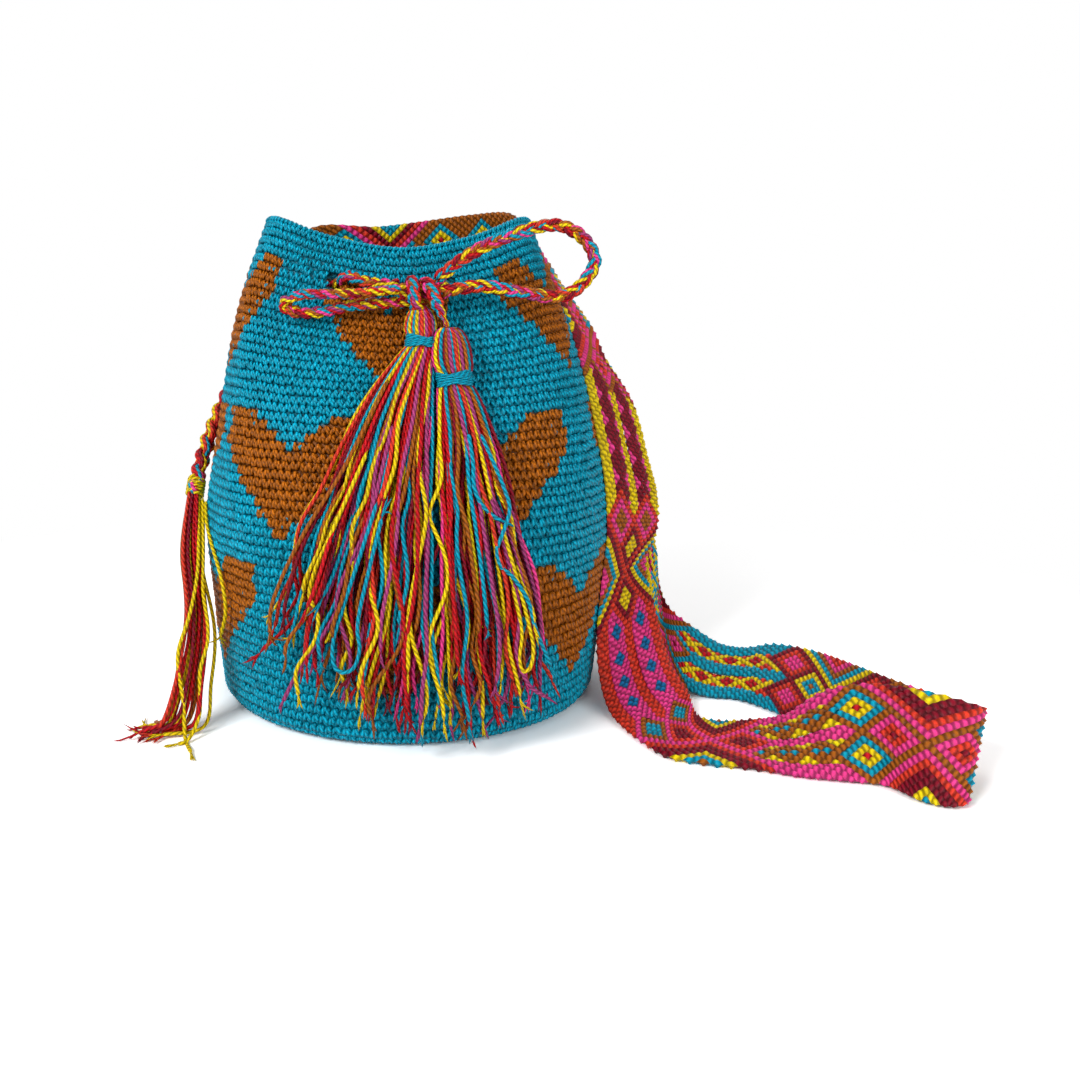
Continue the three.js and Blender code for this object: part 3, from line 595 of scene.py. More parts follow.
def cotton(name, ply_pitch, ply_depth, fibre, fibre_depth, roughness):
    """Dyed cotton thread: plies that wind round each thread, and fibres that catch the light in fine streaks.

    ply_pitch and fibre are in millimetres; the depths are in millimetres of relief.
    """
    material = bpy.data.materials.new(name)
    material.use_nodes = True
    tree = material.node_tree
    tree.nodes.clear()
    dye = add(tree, "ShaderNodeAttribute", {"attribute_name": "dye"})
    uv = add(tree, "ShaderNodeUVMap", {"uv_map": "thread"})
    parts = add(tree, "ShaderNodeSeparateXYZ", i0=uv.outputs[0])
    plies = add(tree, "ShaderNodeMath", {"operation": "MULTIPLY"}, i0=parts.outputs[0], i1=4 * math.pi)
    phase = add(
        tree, "ShaderNodeMath", {"operation": "MULTIPLY_ADD"},
        i0=parts.outputs[1], i1=2 * math.pi / ply_pitch, i2=plies.outputs[0],
    )
    wave = add(tree, "ShaderNodeMath", {"operation": "SINE"}, i0=phase.outputs[0])
    place = add(tree, "ShaderNodeTexCoord")
    fibres = add(
        tree, "ShaderNodeTexNoise", i0=place.outputs["Object"],
        Scale=1 / (fibre * MM), Detail=2.0, Roughness=0.6,
    )
    # Painted shade and highlight: the ply wave darkens the dye between the plies and lightens it on them
    groove = add(
        tree, "ShaderNodeMapRange",
        i0=wave.outputs[0], i1=-1.0, i2=0.5, i3=PLY_PAINTED_SHADES[0], i4=PLY_PAINTED_SHADES[1],
    )
    streak = add(
        tree, "ShaderNodeMapRange",
        i0=fibres.outputs[0], i1=0.25, i2=0.75, i3=STREAK_SHADES[0], i4=STREAK_SHADES[1],
    )
    shade = add(tree, "ShaderNodeMath", {"operation": "MULTIPLY"}, i0=groove.outputs[0], i1=streak.outputs[0])
    colour = add(
        tree, "ShaderNodeMix", {"data_type": "RGBA", "blend_type": "MULTIPLY"},
        Factor=1.0, i6=dye.outputs[0], i7=shade.outputs[0],
    )
    ply_bump = add(tree, "ShaderNodeBump", Strength=1.0, Distance=ply_depth * MM, Height=wave.outputs[0])
    fibre_bump = add(
        tree, "ShaderNodeBump",
        Strength=1.0, Distance=fibre_depth * MM, Height=fibres.outputs[0], Normal=ply_bump.outputs[0],
    )
    shader = add(
        tree, "ShaderNodeBsdfPrincipled",
        Base_Color=colour.outputs[2], Roughness=roughness, Normal=fibre_bump.outputs[0],
    )
    shader.inputs["Specular IOR Level"].default_value = COTTON_SHINE
    add(tree, "ShaderNodeOutputMaterial", Surface=shader.outputs[0])
    return material


# Mercerised cotton worked in tight stitches: a soft shine on each leg, dark in the holes between stitches
CROCHET_COTTON = cotton(
    "crochet_cotton", ply_pitch=2.2, ply_depth=0.16, fibre=0.5, fibre_depth=0.06, roughness=0.45,
)
# The same cotton knotted hard: small shiny lumps with fine streaks
KNOTTED_COTTON = cotton(
    "knotted_cotton", ply_pitch=KNOT_PITCH, ply_depth=0.16, fibre=0.45, fibre_depth=0.05, roughness=0.42,
)
# Loose two-ply cotton: a rope-like twist that shows as slanted bands along every thread
TWISTED_COTTON = cotton(
    "twisted_cotton", ply_pitch=3.2, ply_depth=0.2, fibre=0.4, fibre_depth=0.05, roughness=0.45,
)
# Thin yarn laid side by side in a braid: fine slanted plies under a dull shine
BRAIDED_COTTON = cotton(
    "braided_cotton", ply_pitch=2.2, ply_depth=0.1, fibre=0.4, fibre_depth=0.05, roughness=0.45,
)


# Crochet wall, worked stitch by stitch
def stitch_legs(angles, shares):
    """Paths of both legs of each stitch and their radii, for stitches centred on angles and shares."""
    leg = np.array(STITCH_LEG)
    across = np.stack([leg[:, 0], -leg[:, 0]]) + STITCH_LEAN * leg[:, 1]
    angle = angles[:, None, None] + STITCH_DEGREES * across
    share = np.clip(shares[:, None, None] + leg[:, 1] / ROUNDS, 0, 1)
    share = np.broadcast_to(share, angle.shape)
    normal = wall_normal(angle, share)
    sunk = UNDERSIDE_SINK * np.maximum(0, -normal[..., 2])
    ends = (wall_point(angles + turn, shares) for turn in (-STITCH_DEGREES / 2, STITCH_DEGREES / 2))
    width = np.linalg.norm(np.subtract(*ends), axis=-1)
    radius = np.clip(LEG_RADIUS * width, *LEG_RADIUS_LIMITS)
    radius = radius * (1 + LEG_UNEVEN * rng.standard_normal(len(radius)))
    out = leg[:, 2] - sunk
    paths = wall_point(angle, share) + normal * out[..., None]
    radii = radius[:, None, None] * LEG_TAPER
    samples = len(leg)
    return paths.reshape(-1, samples, 3), np.broadcast_to(radii, angle.shape).reshape(-1, samples)


def heart_specks(angle, share):
    """The carried teal thread where it shows between caramel stitches along a heart's border."""
    start, end = (in_heart(angle + reach * STITCH_DEGREES, share) for reach in RIGHT_BORDER)
    right = start & ~end
    left = ~in_heart(angle - LEFT_BORDER * STITCH_DEGREES, share)
    on_right, on_left = (rng.random(len(angle)) < part for part in SPECK_SHARES)
    shown = (right & on_right) | (left & on_left)
    angle, share = angle[shown] + STITCH_DEGREES / 2, share[shown]
    across, up, out = SPECK_THREAD.T
    place = angle[:, None] + STITCH_DEGREES * across
    level = share[:, None] + up / ROUNDS
    paths = off_wall(place, level, np.broadcast_to(out, place.shape))
    dyes = np.repeat(DYE["teal"][None], len(angle), axis=0)
    return threads(paths, SPECK_RADIUS * LEG_TAPER, varied(dyes, UNEVEN_DYE["speck"]), sides=4)


def crochet_wall():
    for name, first, end in WALL_BANDS:
        rows = np.arange(first, end)
        angle = (np.arange(STITCHES)[None] + STITCH_SHIFT * rows[:, None]) * STITCH_DEGREES
        share = np.broadcast_to((rows[:, None] + 0.5) / ROUNDS, angle.shape)
        angle, share = angle.ravel(), share.ravel()
        clear = ~near_eyelet(angle, share, EYELET_RADIUS)
        angle, share = angle[clear], share[clear]
        angle = angle + STITCH_DEGREES * STRAY_ACROSS * rng.standard_normal(len(angle))
        share = share + STRAY_UP / ROUNDS * rng.standard_normal(len(share))
        paths, radii = stitch_legs(angle, share)
        heart = in_heart(angle, share)
        dye = np.where(heart[:, None], DYE["caramel"], DYE["teal"])
        dye = varied(np.repeat(dye, 2, axis=0), UNEVEN_DYE["wall"])
        # Painted light and shade along each leg, lighter above and darker at its foot
        dye = np.clip(dye[:, None] * LEG_PAINTED_SHADE[:, None], 0, 1)
        parts = [threads(paths, radii, dye, sides=4), heart_specks(angle[heart], share[heart])]
        piece = thread_piece(name, parts, CROCHET_COTTON)
        if first == 0:
            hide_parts("bag_body")


def crochet_base():
    """Rounds of stitches under the flat base, which grow outwards from the middle."""
    paths = []
    leg = np.array(STITCH_LEG)
    step = (BASE_RADIUS - BASE_EDGE_RADIUS) / BASE_ROUNDS
    for k in range(BASE_ROUNDS):
        count = max(BASE_FIRST_STITCHES, round(BASE_GROWTH * (k + BASE_START)))
        turn = 2 * math.pi * (np.arange(count) + 0.5 * (k % 2)) / count
        width = 2 * math.pi / count
        across = np.stack([leg[:, 0], -leg[:, 0]])
        angle = turn[:, None, None] + width * across
        radius = np.broadcast_to((k + 0.5 + leg[:, 1]) * step, angle.shape)
        height = np.broadcast_to(BASE_LEG_HEIGHT - leg[:, 2], angle.shape)
        round_legs = np.stack([radius * np.sin(angle), -radius * np.cos(angle), height], -1)
        paths.append(round_legs.reshape(-1, len(leg), 3))
    paths = np.concatenate(paths)
    dye = np.repeat(DYE["teal"][None], len(paths), axis=0)
    legs = threads(paths, EDGE_LEG_RADIUS * LEG_TAPER, varied(dye, UNEVEN_DYE["edge"]), sides=4)
    thread_piece("crochet_base", [legs], CROCHET_COTTON)


def crochet_lining():
    """The cloth behind the stitches and the bag's inside, as one skin that turns over the rim."""
    angles = np.arange(STITCHES) * STITCH_DEGREES
    flat_edge = BASE_RADIUS - BASE_EDGE_RADIUS
    turn = np.radians(angles)
    rings, places = [], []

    def flat(radius, height):
        heights = np.full(STITCHES, height)
        rings.append(np.column_stack([radius * np.sin(turn), -radius * np.cos(turn), heights]))
        places.append(0.0)

    def wall(share, distance):
        rings.append(off_wall(angles, np.full(STITCHES, share), np.full(STITCHES, distance)))
        places.append(share)

    for radius in np.linspace(2, flat_edge, 12):
        flat(radius, BASE_SKIN_HEIGHT)
    for share in np.linspace(0.03, 1, ROUNDS + 1):
        wall(share, -BACKING_DEPTH)
    rim = off_wall(angles, np.ones(STITCHES), np.full(STITCHES, -RIM_SKIN_DEPTH))
    rim[:, 2] += RIM_SKIN_RISE
    rings.append(rim)
    places.append(1.0)
    for k, share in enumerate(np.linspace(1, 0.05, 2 * ROUNDS)):
        wall(share, -LINING_DEPTH + LINING_RIDGE * (-1) ** k)
    for k, radius in enumerate(np.linspace(flat_edge - 2, 2, 2 * BASE_ROUNDS)):
        flat(radius, BASE_LINING_HEIGHT + BASE_RIDGE * (-1) ** k)
    points = np.concatenate(rings)
    place = np.array(places)
    ring, column = np.meshgrid(np.arange(len(rings) - 1), np.arange(STITCHES), indexing="ij")
    level = (place[ring] + place[ring + 1]) / 2
    hole = near_eyelet(angles[column] + STITCH_DEGREES / 2, level, EYELET_RADIUS)
    ring, column = ring[~hole], column[~hole]
    after = (column + 1) % STITCHES
    low, high = ring * STITCHES, (ring + 1) * STITCHES
    faces = np.stack([low + column, low + after, high + after, high + column], -1)
    share = np.repeat(place, STITCHES)
    dye = np.where(in_heart(np.tile(angles, len(rings)), share)[:, None], DYE["caramel"], DYE["teal"])
    # Each face wears half a turn of a thread, 2.1 mm along it
    face_uv = np.array([(0, 0), (0.5, 0), (0.5, 2.1), (0, 2.1)])
    uv = np.tile(face_uv, (len(faces), 1, 1))
    # The lining's colour is the dye dimmed by painted shade
    make_piece("crochet_lining", points, faces, LINING_PAINTED_SHADE * dye, CROCHET_COTTON, uv=uv)


def crochet_rim():
    """Edge stitches that lie over the rim from the outside to the inside."""
    angle = np.arange(STITCHES)[:, None, None] * STITCH_DEGREES
    across = np.array([[-0.6, -0.3, 0.05, 0.4, 0.75], [-0.15, 0.15, 0.45, 0.75, 1.1]])
    out = np.array([[0.6, 0.3, -0.4, -1.4, -2.2], [-1.6, -2.4, -3.0, -3.4, -3.9]])
    rise = np.array([[-1.6, 0.0, 0.7, 0.9, 0.5], [0.5, 0.9, 0.7, 0.0, -1.6]])
    place = angle + STITCH_DEGREES * across
    paths = off_wall(place, np.ones(place.shape), np.broadcast_to(out, place.shape))
    paths[..., 2] += rise
    paths = paths.reshape(-1, len(LEG_TAPER), 3)
    dye = varied(np.repeat(DYE["teal"][None], len(paths), axis=0), UNEVEN_DYE["edge"])
    legs = threads(paths, EDGE_LEG_RADIUS * LEG_TAPER, dye)
    thread_piece("crochet_rim", [legs], CROCHET_COTTON)


# Braided cords
def frame_along(line):
    """A side and an upward vector at each point of a line, turning as little as they can."""
    tangents = unit(np.gradient(line, axis=0))
    normal = unit(np.cross(tangents[0], np.eye(3)[np.abs(tangents[0]).argmin()]))
    normals = []
    for tangent in tangents:
        normal = unit(normal - normal.dot(tangent) * tangent)
        normals.append(normal)
    normals = np.array(normals)
    return normals, np.cross(tangents, normals)


def braid(line, diameter, pitch, yarns, dyes, front=None):
    """Three strands of yarns that plait along a line, as threads gives them."""
    side, lift = frame_along(line)
    if front is not None:
        tangents = unit(np.gradient(line, axis=0))
        lift = unit(front - (front * tangents).sum(1, keepdims=True) * tangents)
        side = np.cross(lift, tangents)
    along = lengths_along(line)
    diameter = np.broadcast_to(diameter, len(line))
    wide, deep, strand = STRAND_SWING * diameter, STRAND_RISE * diameter, STRAND_RADIUS * diameter
    paths, colours = [], []
    for k in range(3):
        phase = 2 * math.pi * (along / pitch + k / 3)
        centre = line + side * (wide * np.sin(phase))[:, None] + lift * (deep * np.sin(2 * phase))[:, None]
        across, out = frame_along(centre)
        for y in range(yarns):
            turn = 2 * math.pi * (y / yarns + along / (3 * pitch))
            offset = across * np.cos(turn)[:, None] + out * np.sin(turn)[:, None]
            paths.append(centre + YARN_PLACE * strand[:, None] * offset)
            colours.append(DYE[dyes[(k * yarns + y) % len(dyes)]])
    radii = strand * YARN_RADIUS[yarns]
    return threads(np.array(paths), radii, varied(np.array(colours), UNEVEN_DYE["cord"]))


CORD_DYES = [
    "yellow", "red", "teal", "brown", "dark red", "yellow", "mauve", "red", "orange", "teal", "pink", "brown",
]


def drawstring_piece(name, route, node):
    line = even_line(route, CORD_STEP)
    cord = braid(line, CORD_DIAMETER, CORD_PITCH, CORD_YARNS, CORD_DYES)
    piece = thread_piece(name, [cord], BRAIDED_COTTON)
    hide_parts(node)


def bow_knot():
    """The knot's cords, of which one narrows into the right tassel's head."""
    parts = []
    for route in KNOT_CORDS:
        line = even_line(route, KNOT_CORD_STEP)
        to_end = lengths_along(line[::-1])[::-1]
        narrow = np.clip(to_end / TAIL_NARROWING, TAIL_END_SHARE, 1) if route == KNOT_TAIL else 1
        parts.append(braid(line, KNOT_CORD_DIAMETER * narrow, KNOT_CORD_PITCH, CORD_YARNS, CORD_DYES))
    piece = thread_piece("drawstring_knot", parts, BRAIDED_COTTON)
    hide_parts("bow_knot")


# Tassels
def disc_places(count):
    """Places spread evenly over a unit disc, in a sunflower order."""
    k = np.arange(count)
    radius = np.sqrt((k + 0.5) / count)
    turn = k * math.pi * (3 - math.sqrt(5))
    return radius * np.cos(turn), radius * np.sin(turn)


# Thread colours of the tassels, taken in a shuffled order, those over the front from left to right, and those
# of each tassel's threads furthest left
TASSEL_DYES = [
    "red", "yellow", "mauve", "teal", "dark red", "brown", "yellow", "red", "pink",
    "teal", "dark red", "orange", "yellow", "mauve", "brown", "red", "teal", "dark red",
]
FRONT_DYES = [
    "yellow", "red", "teal", "dark red", "brown", "yellow", "red", "mauve",
    "teal", "dark red", "orange", "yellow", "red", "mauve", "brown", "red",
]
LEFT_OUTER_DYES = ["yellow", "orange", "red", "brown", "dark red", "red"]
RIGHT_OUTER_DYES = ["pink", "red"]
PLAIT_DYES = ["red", "orange", "yellow", "red", "pink", "teal", "orange", "yellow", "dark red"]
LOOSE_DYES = ["red", "orange", "yellow", "red", "dark red", "orange", "brown", "red", "orange", "yellow"]
# Threads that stray or loop back, as (dye, mm from the wall, places as x and z)
LEFT_STRAYS = [
    ("teal", 13.5, [
        (-12, 110), (-19, 88), (-26.1, 66.4), (-30.3, 51.2), (-29.5, 42), (-26.1, 39.9), (-21.9, 42),
        (-19.4, 49.6), (-20.2, 58.8), (-15, 84), (-10, 104),
    ]),
    ("yellow", 13, [
        (-16, 130), (-31, 96), (-38, 80), (-40, 70), (-36.5, 62), (-38, 52), (-46, 38), (-45, 28),
    ]),
    ("brown", 12.5, [(-8, 158), (-26, 122), (-42, 96), (-52, 76), (-57, 62), (-57.5, 52)]),
    ("mauve", 12, [(-6, 140), (-16, 100), (-30, 62), (-44, 40), (-52, 24)]),
]
RIGHT_STRAYS = [
    ("teal", 14, [
        (30, 136), (35.8, 122.7), (39.7, 113.2), (41.7, 105.3), (38.1, 94.2), (36.3, 89.2), (38, 82.4),
        (43, 77.4), (49.8, 66.4), (53.1, 54.6), (60.7, 36),
    ]),
    ("teal", 13.5, [(25, 136), (26.7, 124.3), (27.1, 114.8), (30.2, 107.7), (35.8, 102.2), (38, 101)]),
    ("yellow", 13, [
        (38, 100), (45, 76), (49.8, 58), (52.3, 45.3), (50.6, 37.7), (48, 37), (46.2, 42), (47.2, 52.9),
        (43, 74),
    ]),
    ("mauve", 12.5, [(34, 110), (41, 84), (46, 60), (45, 44), (51, 30), (58, 24)]),
]


def thread_dyes(count, dyes):
    """Colours that all come up before any comes again, in a new order each time."""
    rounds = [rng.permutation(len(dyes)) for _ in range(count // len(dyes) + 1)]
    return np.array([DYE[dyes[k]] for k in np.concatenate(rounds)[:count]])


def sway(paths, loose, reaches):
    """Threads bent sideways and outwards in soft waves that grow along their loose part."""
    count = len(paths)
    for axis, reach, slow, fast in reaches:
        waves = rng.uniform(slow, fast, (count, 1))
        start = rng.uniform(0, 2 * math.pi, (count, 1))
        bend = reach * rng.standard_normal((count, 1)) * loose ** SWAY_POWER
        wave = bend * (np.sin(2 * math.pi * waves * loose + start) - np.sin(start))
        paths[..., axis] += -np.abs(wave) if axis == 1 else wave
    return paths


def frayed_ends(paths, dyes):
    """Each thread's end parted in thin ones."""
    ends = np.repeat(paths[:, -1], FRAY_THREADS, axis=0)
    ways = np.repeat(unit(paths[:, -1] - paths[:, -4]), FRAY_THREADS, axis=0)
    is_wide = rng.random((len(paths), 1)) < FRAY_WIDE_SHARE
    loose = np.repeat(np.where(is_wide, *FRAY_SPREADS), FRAY_THREADS, axis=0)
    spread = loose * rng.standard_normal(ends.shape)
    long = FRAY_REACH * rng.uniform(*FRAY_LENGTHS, (len(ends), 1))
    steps = FRAY_STEPS[None, :, None]
    apart = spread[:, None] * np.maximum(steps, 0) ** 2
    lines = ends[:, None] + long[:, None] * (ways[:, None] * steps + apart)
    lines[..., 2] = np.maximum(lines[..., 2], FRAY_FLOOR)
    return threads(lines, FRAY_RADII, np.repeat(dyes, FRAY_THREADS, axis=0), sides=4)


def front_tassel(name, rows, count, outer, strays, body):
    across, depth = disc_places(count)
    order = np.argsort(across)
    across, depth = across[order], depth[order]
    levels = []
    for row in [*rows["head"], *rows["neck"], *rows["skirt"]]:
        left_z, right_z, left_x, right_x, half_depth, *given = row
        distance = given[0] if given else TASSEL_CLEARANCE + half_depth
        z = left_z + (right_z - left_z) * (across + 1) / 2
        x = (left_x + right_x) / 2 + (right_x - left_x) / 2 * across
        levels.append(in_front_of_wall(x, z, distance + BUNDLE_FILL * half_depth * depth))
    levels = np.stack(levels, axis=1)
    skirt_start = (len(rows["head"]) + len(rows["neck"])) / (levels.shape[1] - 1)
    ends = 1 - THREAD_SHORTENING * rng.random((count, 1)) ** SHORTENING_POWER
    shares = ends * np.linspace(0, 1, TASSEL_SAMPLES)
    paths = np.stack([spline(line, share) for line, share in zip(levels, shares)])
    loose = np.clip((shares - skirt_start) / (1 - skirt_start), 0, 1)
    paths = sway(paths, loose, TASSEL_SWAY)
    radii = np.full(paths.shape[:2], THREAD_RADIUS)
    radii[:, :2] = THREAD_START * THREAD_RADIUS
    colours = thread_dyes(count, TASSEL_DYES)
    for nearer, further in FRONT_LAYERS:
        front = np.flatnonzero((depth > further) & (depth <= nearer))
        colours[front] = [DYE[FRONT_DYES[k % len(FRONT_DYES)]] for k in range(len(front))]
    colours[:len(outer)] = [DYE[dye] for dye in outer]
    colours = varied(colours, UNEVEN_DYE["tassel"])
    stray_paths = []
    for _, distance, places in strays:
        x, z = spline(np.array(places), np.linspace(0, 1, TASSEL_SAMPLES)).T
        stray_paths.append(in_front_of_wall(x, z, np.full(TASSEL_SAMPLES, distance)))
    stray_paths = np.array(stray_paths)
    stray_colours = np.array([DYE[dye] for dye, *_ in strays])
    parts = [
        threads(paths, radii, colours),
        frayed_ends(paths, colours),
        threads(stray_paths, np.full(TASSEL_SAMPLES, THREAD_RADIUS), stray_colours),
        frayed_ends(stray_paths, stray_colours),
    ]
    piece = thread_piece(f"{name}_threads", parts, TWISTED_COTTON, body)
    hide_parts(name)


def tassel_binding(name, rows, body):
    """Teal thread wound aslant round a tassel's neck, with two turns that cross over the others."""
    top, bottom = rows["neck"]

    def winding(start, end, count, grow, radius, tilt):
        share = np.linspace(start, end, count)
        turn = np.linspace(0, 2 * math.pi * max(1, round(BINDING_TURNS * abs(end - start))), count)
        level = np.array(top) + share[:, None] * (np.array(bottom) - np.array(top))
        half = (level[:, 3] - level[:, 2]) / 2 + grow
        side = half * np.cos(turn)
        distance = level[:, 5] + (level[:, 4] + grow) * np.sin(turn)
        path = in_front_of_wall((level[:, 2] + level[:, 3]) / 2 + side, level[:, 0] + tilt * side, distance)
        return threads(path[None], np.full(count, radius), DYE["teal"][None] * BINDING_SHADE, sides=6)

    tilt = rows["tilt"]
    parts = [
        winding(0.0, 1.0, count=40 * BINDING_TURNS, grow=0.9, radius=0.7, tilt=tilt),
        winding(0.9, 0.1, count=60, grow=1.5, radius=0.65, tilt=-0.5 * tilt),
    ]
    piece = thread_piece(f"{name}_winding", parts, TWISTED_COTTON, body)
    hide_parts(f"{name}_binding")


def side_tassel(name, route, count, floor_way, strays):
    """The strap's own thread ends: a plait along the wall, a yellow wrap, and loose threads to the floor."""
    places = np.array([on_wall(*place) for place in route])
    dense = spline(places, np.linspace(0, 1, ROUTE_SAMPLES))
    lengths = lengths_along(dense) / lengths_along(dense)[-1]

    def at(share):
        return np.stack([np.interp(share, lengths, dense[:, k]) for k in range(3)], -1)

    plait = at(np.linspace(0, WRAP_SHARES[1], PLAIT_SAMPLES))
    outwards = unit(plait * (1, 1, 0))
    parts = [braid(plait, PLAIT_WIDTH, PLAIT_PITCH, PLAIT_YARNS, PLAIT_DYES, front=outwards)]
    across, depth = disc_places(count)
    levels = []
    for share, wide, deep in STRAND_ROWS:
        centre = at(np.array(share))
        forward = unit(at(np.array(min(share + 0.01, 1))) - at(np.array(share - 0.01)))
        out = unit(centre * (1, 1, 0) - forward * np.dot(centre * (1, 1, 0), forward))
        side = np.cross(forward, out)
        levels.append(centre + LOOSE_FILL * (wide * across[:, None] * side + deep * depth[:, None] * out))
    way = np.array(floor_way)
    aside = np.array([-way[1], way[0], 0])
    reach = rng.uniform(*LOOSE_REACH, (count, 1))
    spread = rng.uniform(-LOOSE_SPREAD, LOOSE_SPREAD, (count, 1))
    on_floor = at(np.array(1.0)) + way * reach + aside * spread
    on_floor[:, 2] = rng.uniform(*LOOSE_HEIGHTS, count)
    levels = np.stack([*levels, on_floor], axis=1)
    shares = np.linspace(0, 1, LOOSE_SAMPLES)
    paths = np.stack([spline(line, shares) for line in levels])
    paths = sway(paths, shares[None], LOOSE_SWAY)
    paths[..., 2] = np.maximum(paths[..., 2], LOOSE_FLOOR)
    colours = varied(thread_dyes(count, LOOSE_DYES), UNEVEN_DYE["cord"])
    if strays:
        stray_paths = np.array([spline(np.array(line), shares) for _, line in strays])
        paths = np.concatenate([paths, stray_paths])
        colours = np.concatenate([colours, [DYE[dye] for dye, _ in strays]])
    parts += [
        threads(paths, np.full(LOOSE_SAMPLES, THREAD_RADIUS), colours),
        frayed_ends(paths, colours),
    ]
    piece = thread_piece(f"{name}_threads", parts, TWISTED_COTTON)
    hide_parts(f"{name}_tassel")

    centre = at(np.linspace(*WRAP_SHARES, WRAP_SAMPLES))
    side, out = frame_along(centre)
    turn = np.linspace(0, 2 * math.pi * WRAP_TURNS, WRAP_SAMPLES)
    path = centre + WRAP_RADIUS * (side * np.cos(turn)[:, None] + out * np.sin(turn)[:, None])
    radii = np.full(WRAP_SAMPLES, WRAP_THREAD_RADIUS)
    turns = threads(path[None], radii, DYE["yellow"][None], sides=6)
    wrap = thread_piece(f"{name}_winding", [turns], TWISTED_COTTON)
    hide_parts(f"{name}_wrap")


# Strap
def sewn_station(angle, side, height, distance):
    half = math.degrees(side * STRAP_WIDTH / (2 * SHOULDER_RADIUS))
    return [on_wall(angle + turn, height, distance) for turn in (half, 0, -half)]


def free_station(edge, towards):
    first = np.array(edge, float)
    other = first + STRAP_WIDTH * unit(np.array(towards, float) - first)
    return [first, (first + other) / 2, other]


def hanging_station(first, towards):
    return free_station(on_wall(*first), on_wall(*towards))


def behind_mouth(angle, foot_angle, rise):
    turn = math.radians(angle)
    top = wall_point(angle, 1) + STRAP_RIM_DISTANCE * np.array([math.sin(turn), -math.cos(turn), 0])
    top[2] = STRAP_TOP + rise
    return free_station(top, on_wall(foot_angle, top[2] - STRAP_WIDTH, CORD_CLEAR))


def strap_stations():
    """Places along the strap as first edge, middle and other edge, from its left end to its right end."""
    return [
        sewn_station(-122, 1, 155, SEWN),
        sewn_station(-122, 1, 172, SEWN),
        [on_wall(-107, 194, SEWN), on_wall(-123, 189, SEWN), on_wall(-139, 182, SEWN)],
        [on_wall(-113, 213, SEWN + 0.5), on_wall(-129, 203, SEWN + 0.5), on_wall(-143, 190, SEWN + 0.5)],
        [on_wall(-122, 228, SEWN + 0.5), on_wall(-138, 212, SEWN + 1.5), on_wall(-151, 194, SEWN + 2.5)],
        behind_mouth(-140, -161, -3),
        behind_mouth(-168, -168, -2.5),
        behind_mouth(180, 180, -1),
        behind_mouth(163, 163, 1.5),
        behind_mouth(143, 143, 3.5),
        behind_mouth(121, 121, 2.5),
        hanging_station((103, 232, 4.1), (112, 190, 12.2)),
        hanging_station((88, 213, 1.6), (101, 176, 18)),
        hanging_station((80, 189, 1.2), (97, 157, 18.5)),
        hanging_station((76, 161, 1.1), (92.5, 135, 24)),
        hanging_station((73, 131, 1.1), (90, 108, 26)),
        hanging_station((71.5, 105, 1.4), (89.5, 93, 27.5)),
        hanging_station((71, 80, 1.4), (90, 77, 27.5)),
        hanging_station((70, 56, 1.3), (91, 61, 24)),
        hanging_station((67.5, 33, 2.4), (86.5, 42, 28.5)),
        hanging_station((65, 16, 6.6), (83, 29, 33.4)),
        free_station((92.5, -58, 4), (125.5, -35, 12)),
        free_station((96, -73, FLOOR), (127, -50, 6)),
        free_station((101.5, -91, FLOOR), (130, -59, 3)),
        free_station((108.5, -105.5, FLOOR), (135.5, -62.5, 2)),
        free_station((122, -112, FLOOR), (143, -66, FLOOR)),
        free_station((140, -117, FLOOR), (152, -74, 3)),
        free_station((157, -125, FLOOR), (167, -80, 9)),
        free_station((171, -128.5, FLOOR), (179, -87, 21)),
        free_station((186, -133, FLOOR), (195, -96, 28)),
        free_station((194, -146.5, FLOOR), (211, -114, 33)),
        free_station((203.5, -151, FLOOR), (230, -119, 31)),
        free_station((209, -148.5, FLOOR), (235.5, -114.5, 27.5)),
        free_station((206.5, -142, FLOOR), (230, -106, 26)),
        free_station((196, -124, FLOOR), (213, -92, 23.5)),
        free_station((186, -98, FLOOR), (200, -74, 17.5)),
        free_station((176, -70, FLOOR), (192, -45, 16.5)),
        free_station((167, -51, FLOOR), (184, -18, 16.5)),
        free_station((157, -40, FLOOR), (175, 0, 12.5)),
        free_station((147, -38, FLOOR), (165, 7, 15.5)),
        free_station((138, -34, 3), (154, 11, 23)),
        free_station((131, -22, 8), (141, 22, 32)),
        free_station((129, -6, 20), (138, 38, 44)),
        hanging_station((94, 41, 31.5), (109, 63, 48)),
        hanging_station((99, 65, 27.4), (115, 82, 46.1)),
        hanging_station((105, 89, 20.8), (123, 101, 40.6)),
        hanging_station((112, 115, 17.2), (132, 121, 33.7)),
        hanging_station((117, 139, 16.9), (140, 140, 29)),
        sewn_station(137, -1, 167, 15),
        sewn_station(137, -1, 181, 14.5),
        sewn_station(137, -1, 190, 9),
        sewn_station(137, -1, 183, SEWN + 0.8),
        sewn_station(137, -1, 167, SEWN),
        sewn_station(137, -1, 152, SEWN),
        sewn_station(137, -1, 138, SEWN),
    ]


# Stretches of separate strips: first and last row, then each strip's ground, dot and edge colours
STRIPS = [
    (6, 24, ["teal", "yellow/red/orange", "teal", "yellow/red/orange", "teal"]),
    (84, 104, ["pink", "brown/teal/yellow", "pink", "brown/teal/yellow", "pink"]),
    (128, 158, ["yellow", "dark red//pink", "yellow", "dark red//pink", "yellow"]),
    (182, 210, ["orange", "pink/blue", "orange", "pink/blue", "orange"]),
    (234, 250, ["pink", "brown/teal/yellow", "pink", "brown/teal/yellow", "pink"]),
    (328, 346, ["teal", "yellow/red/orange", "teal", "yellow/red/orange", "teal"]),
    (376, 404, ["yellow", "dark red//pink", "yellow", "dark red//pink", "yellow"]),
    (428, 450, ["orange", "pink/blue", "orange", "pink/blue", "orange"]),
]
STRIP_REACH = 8
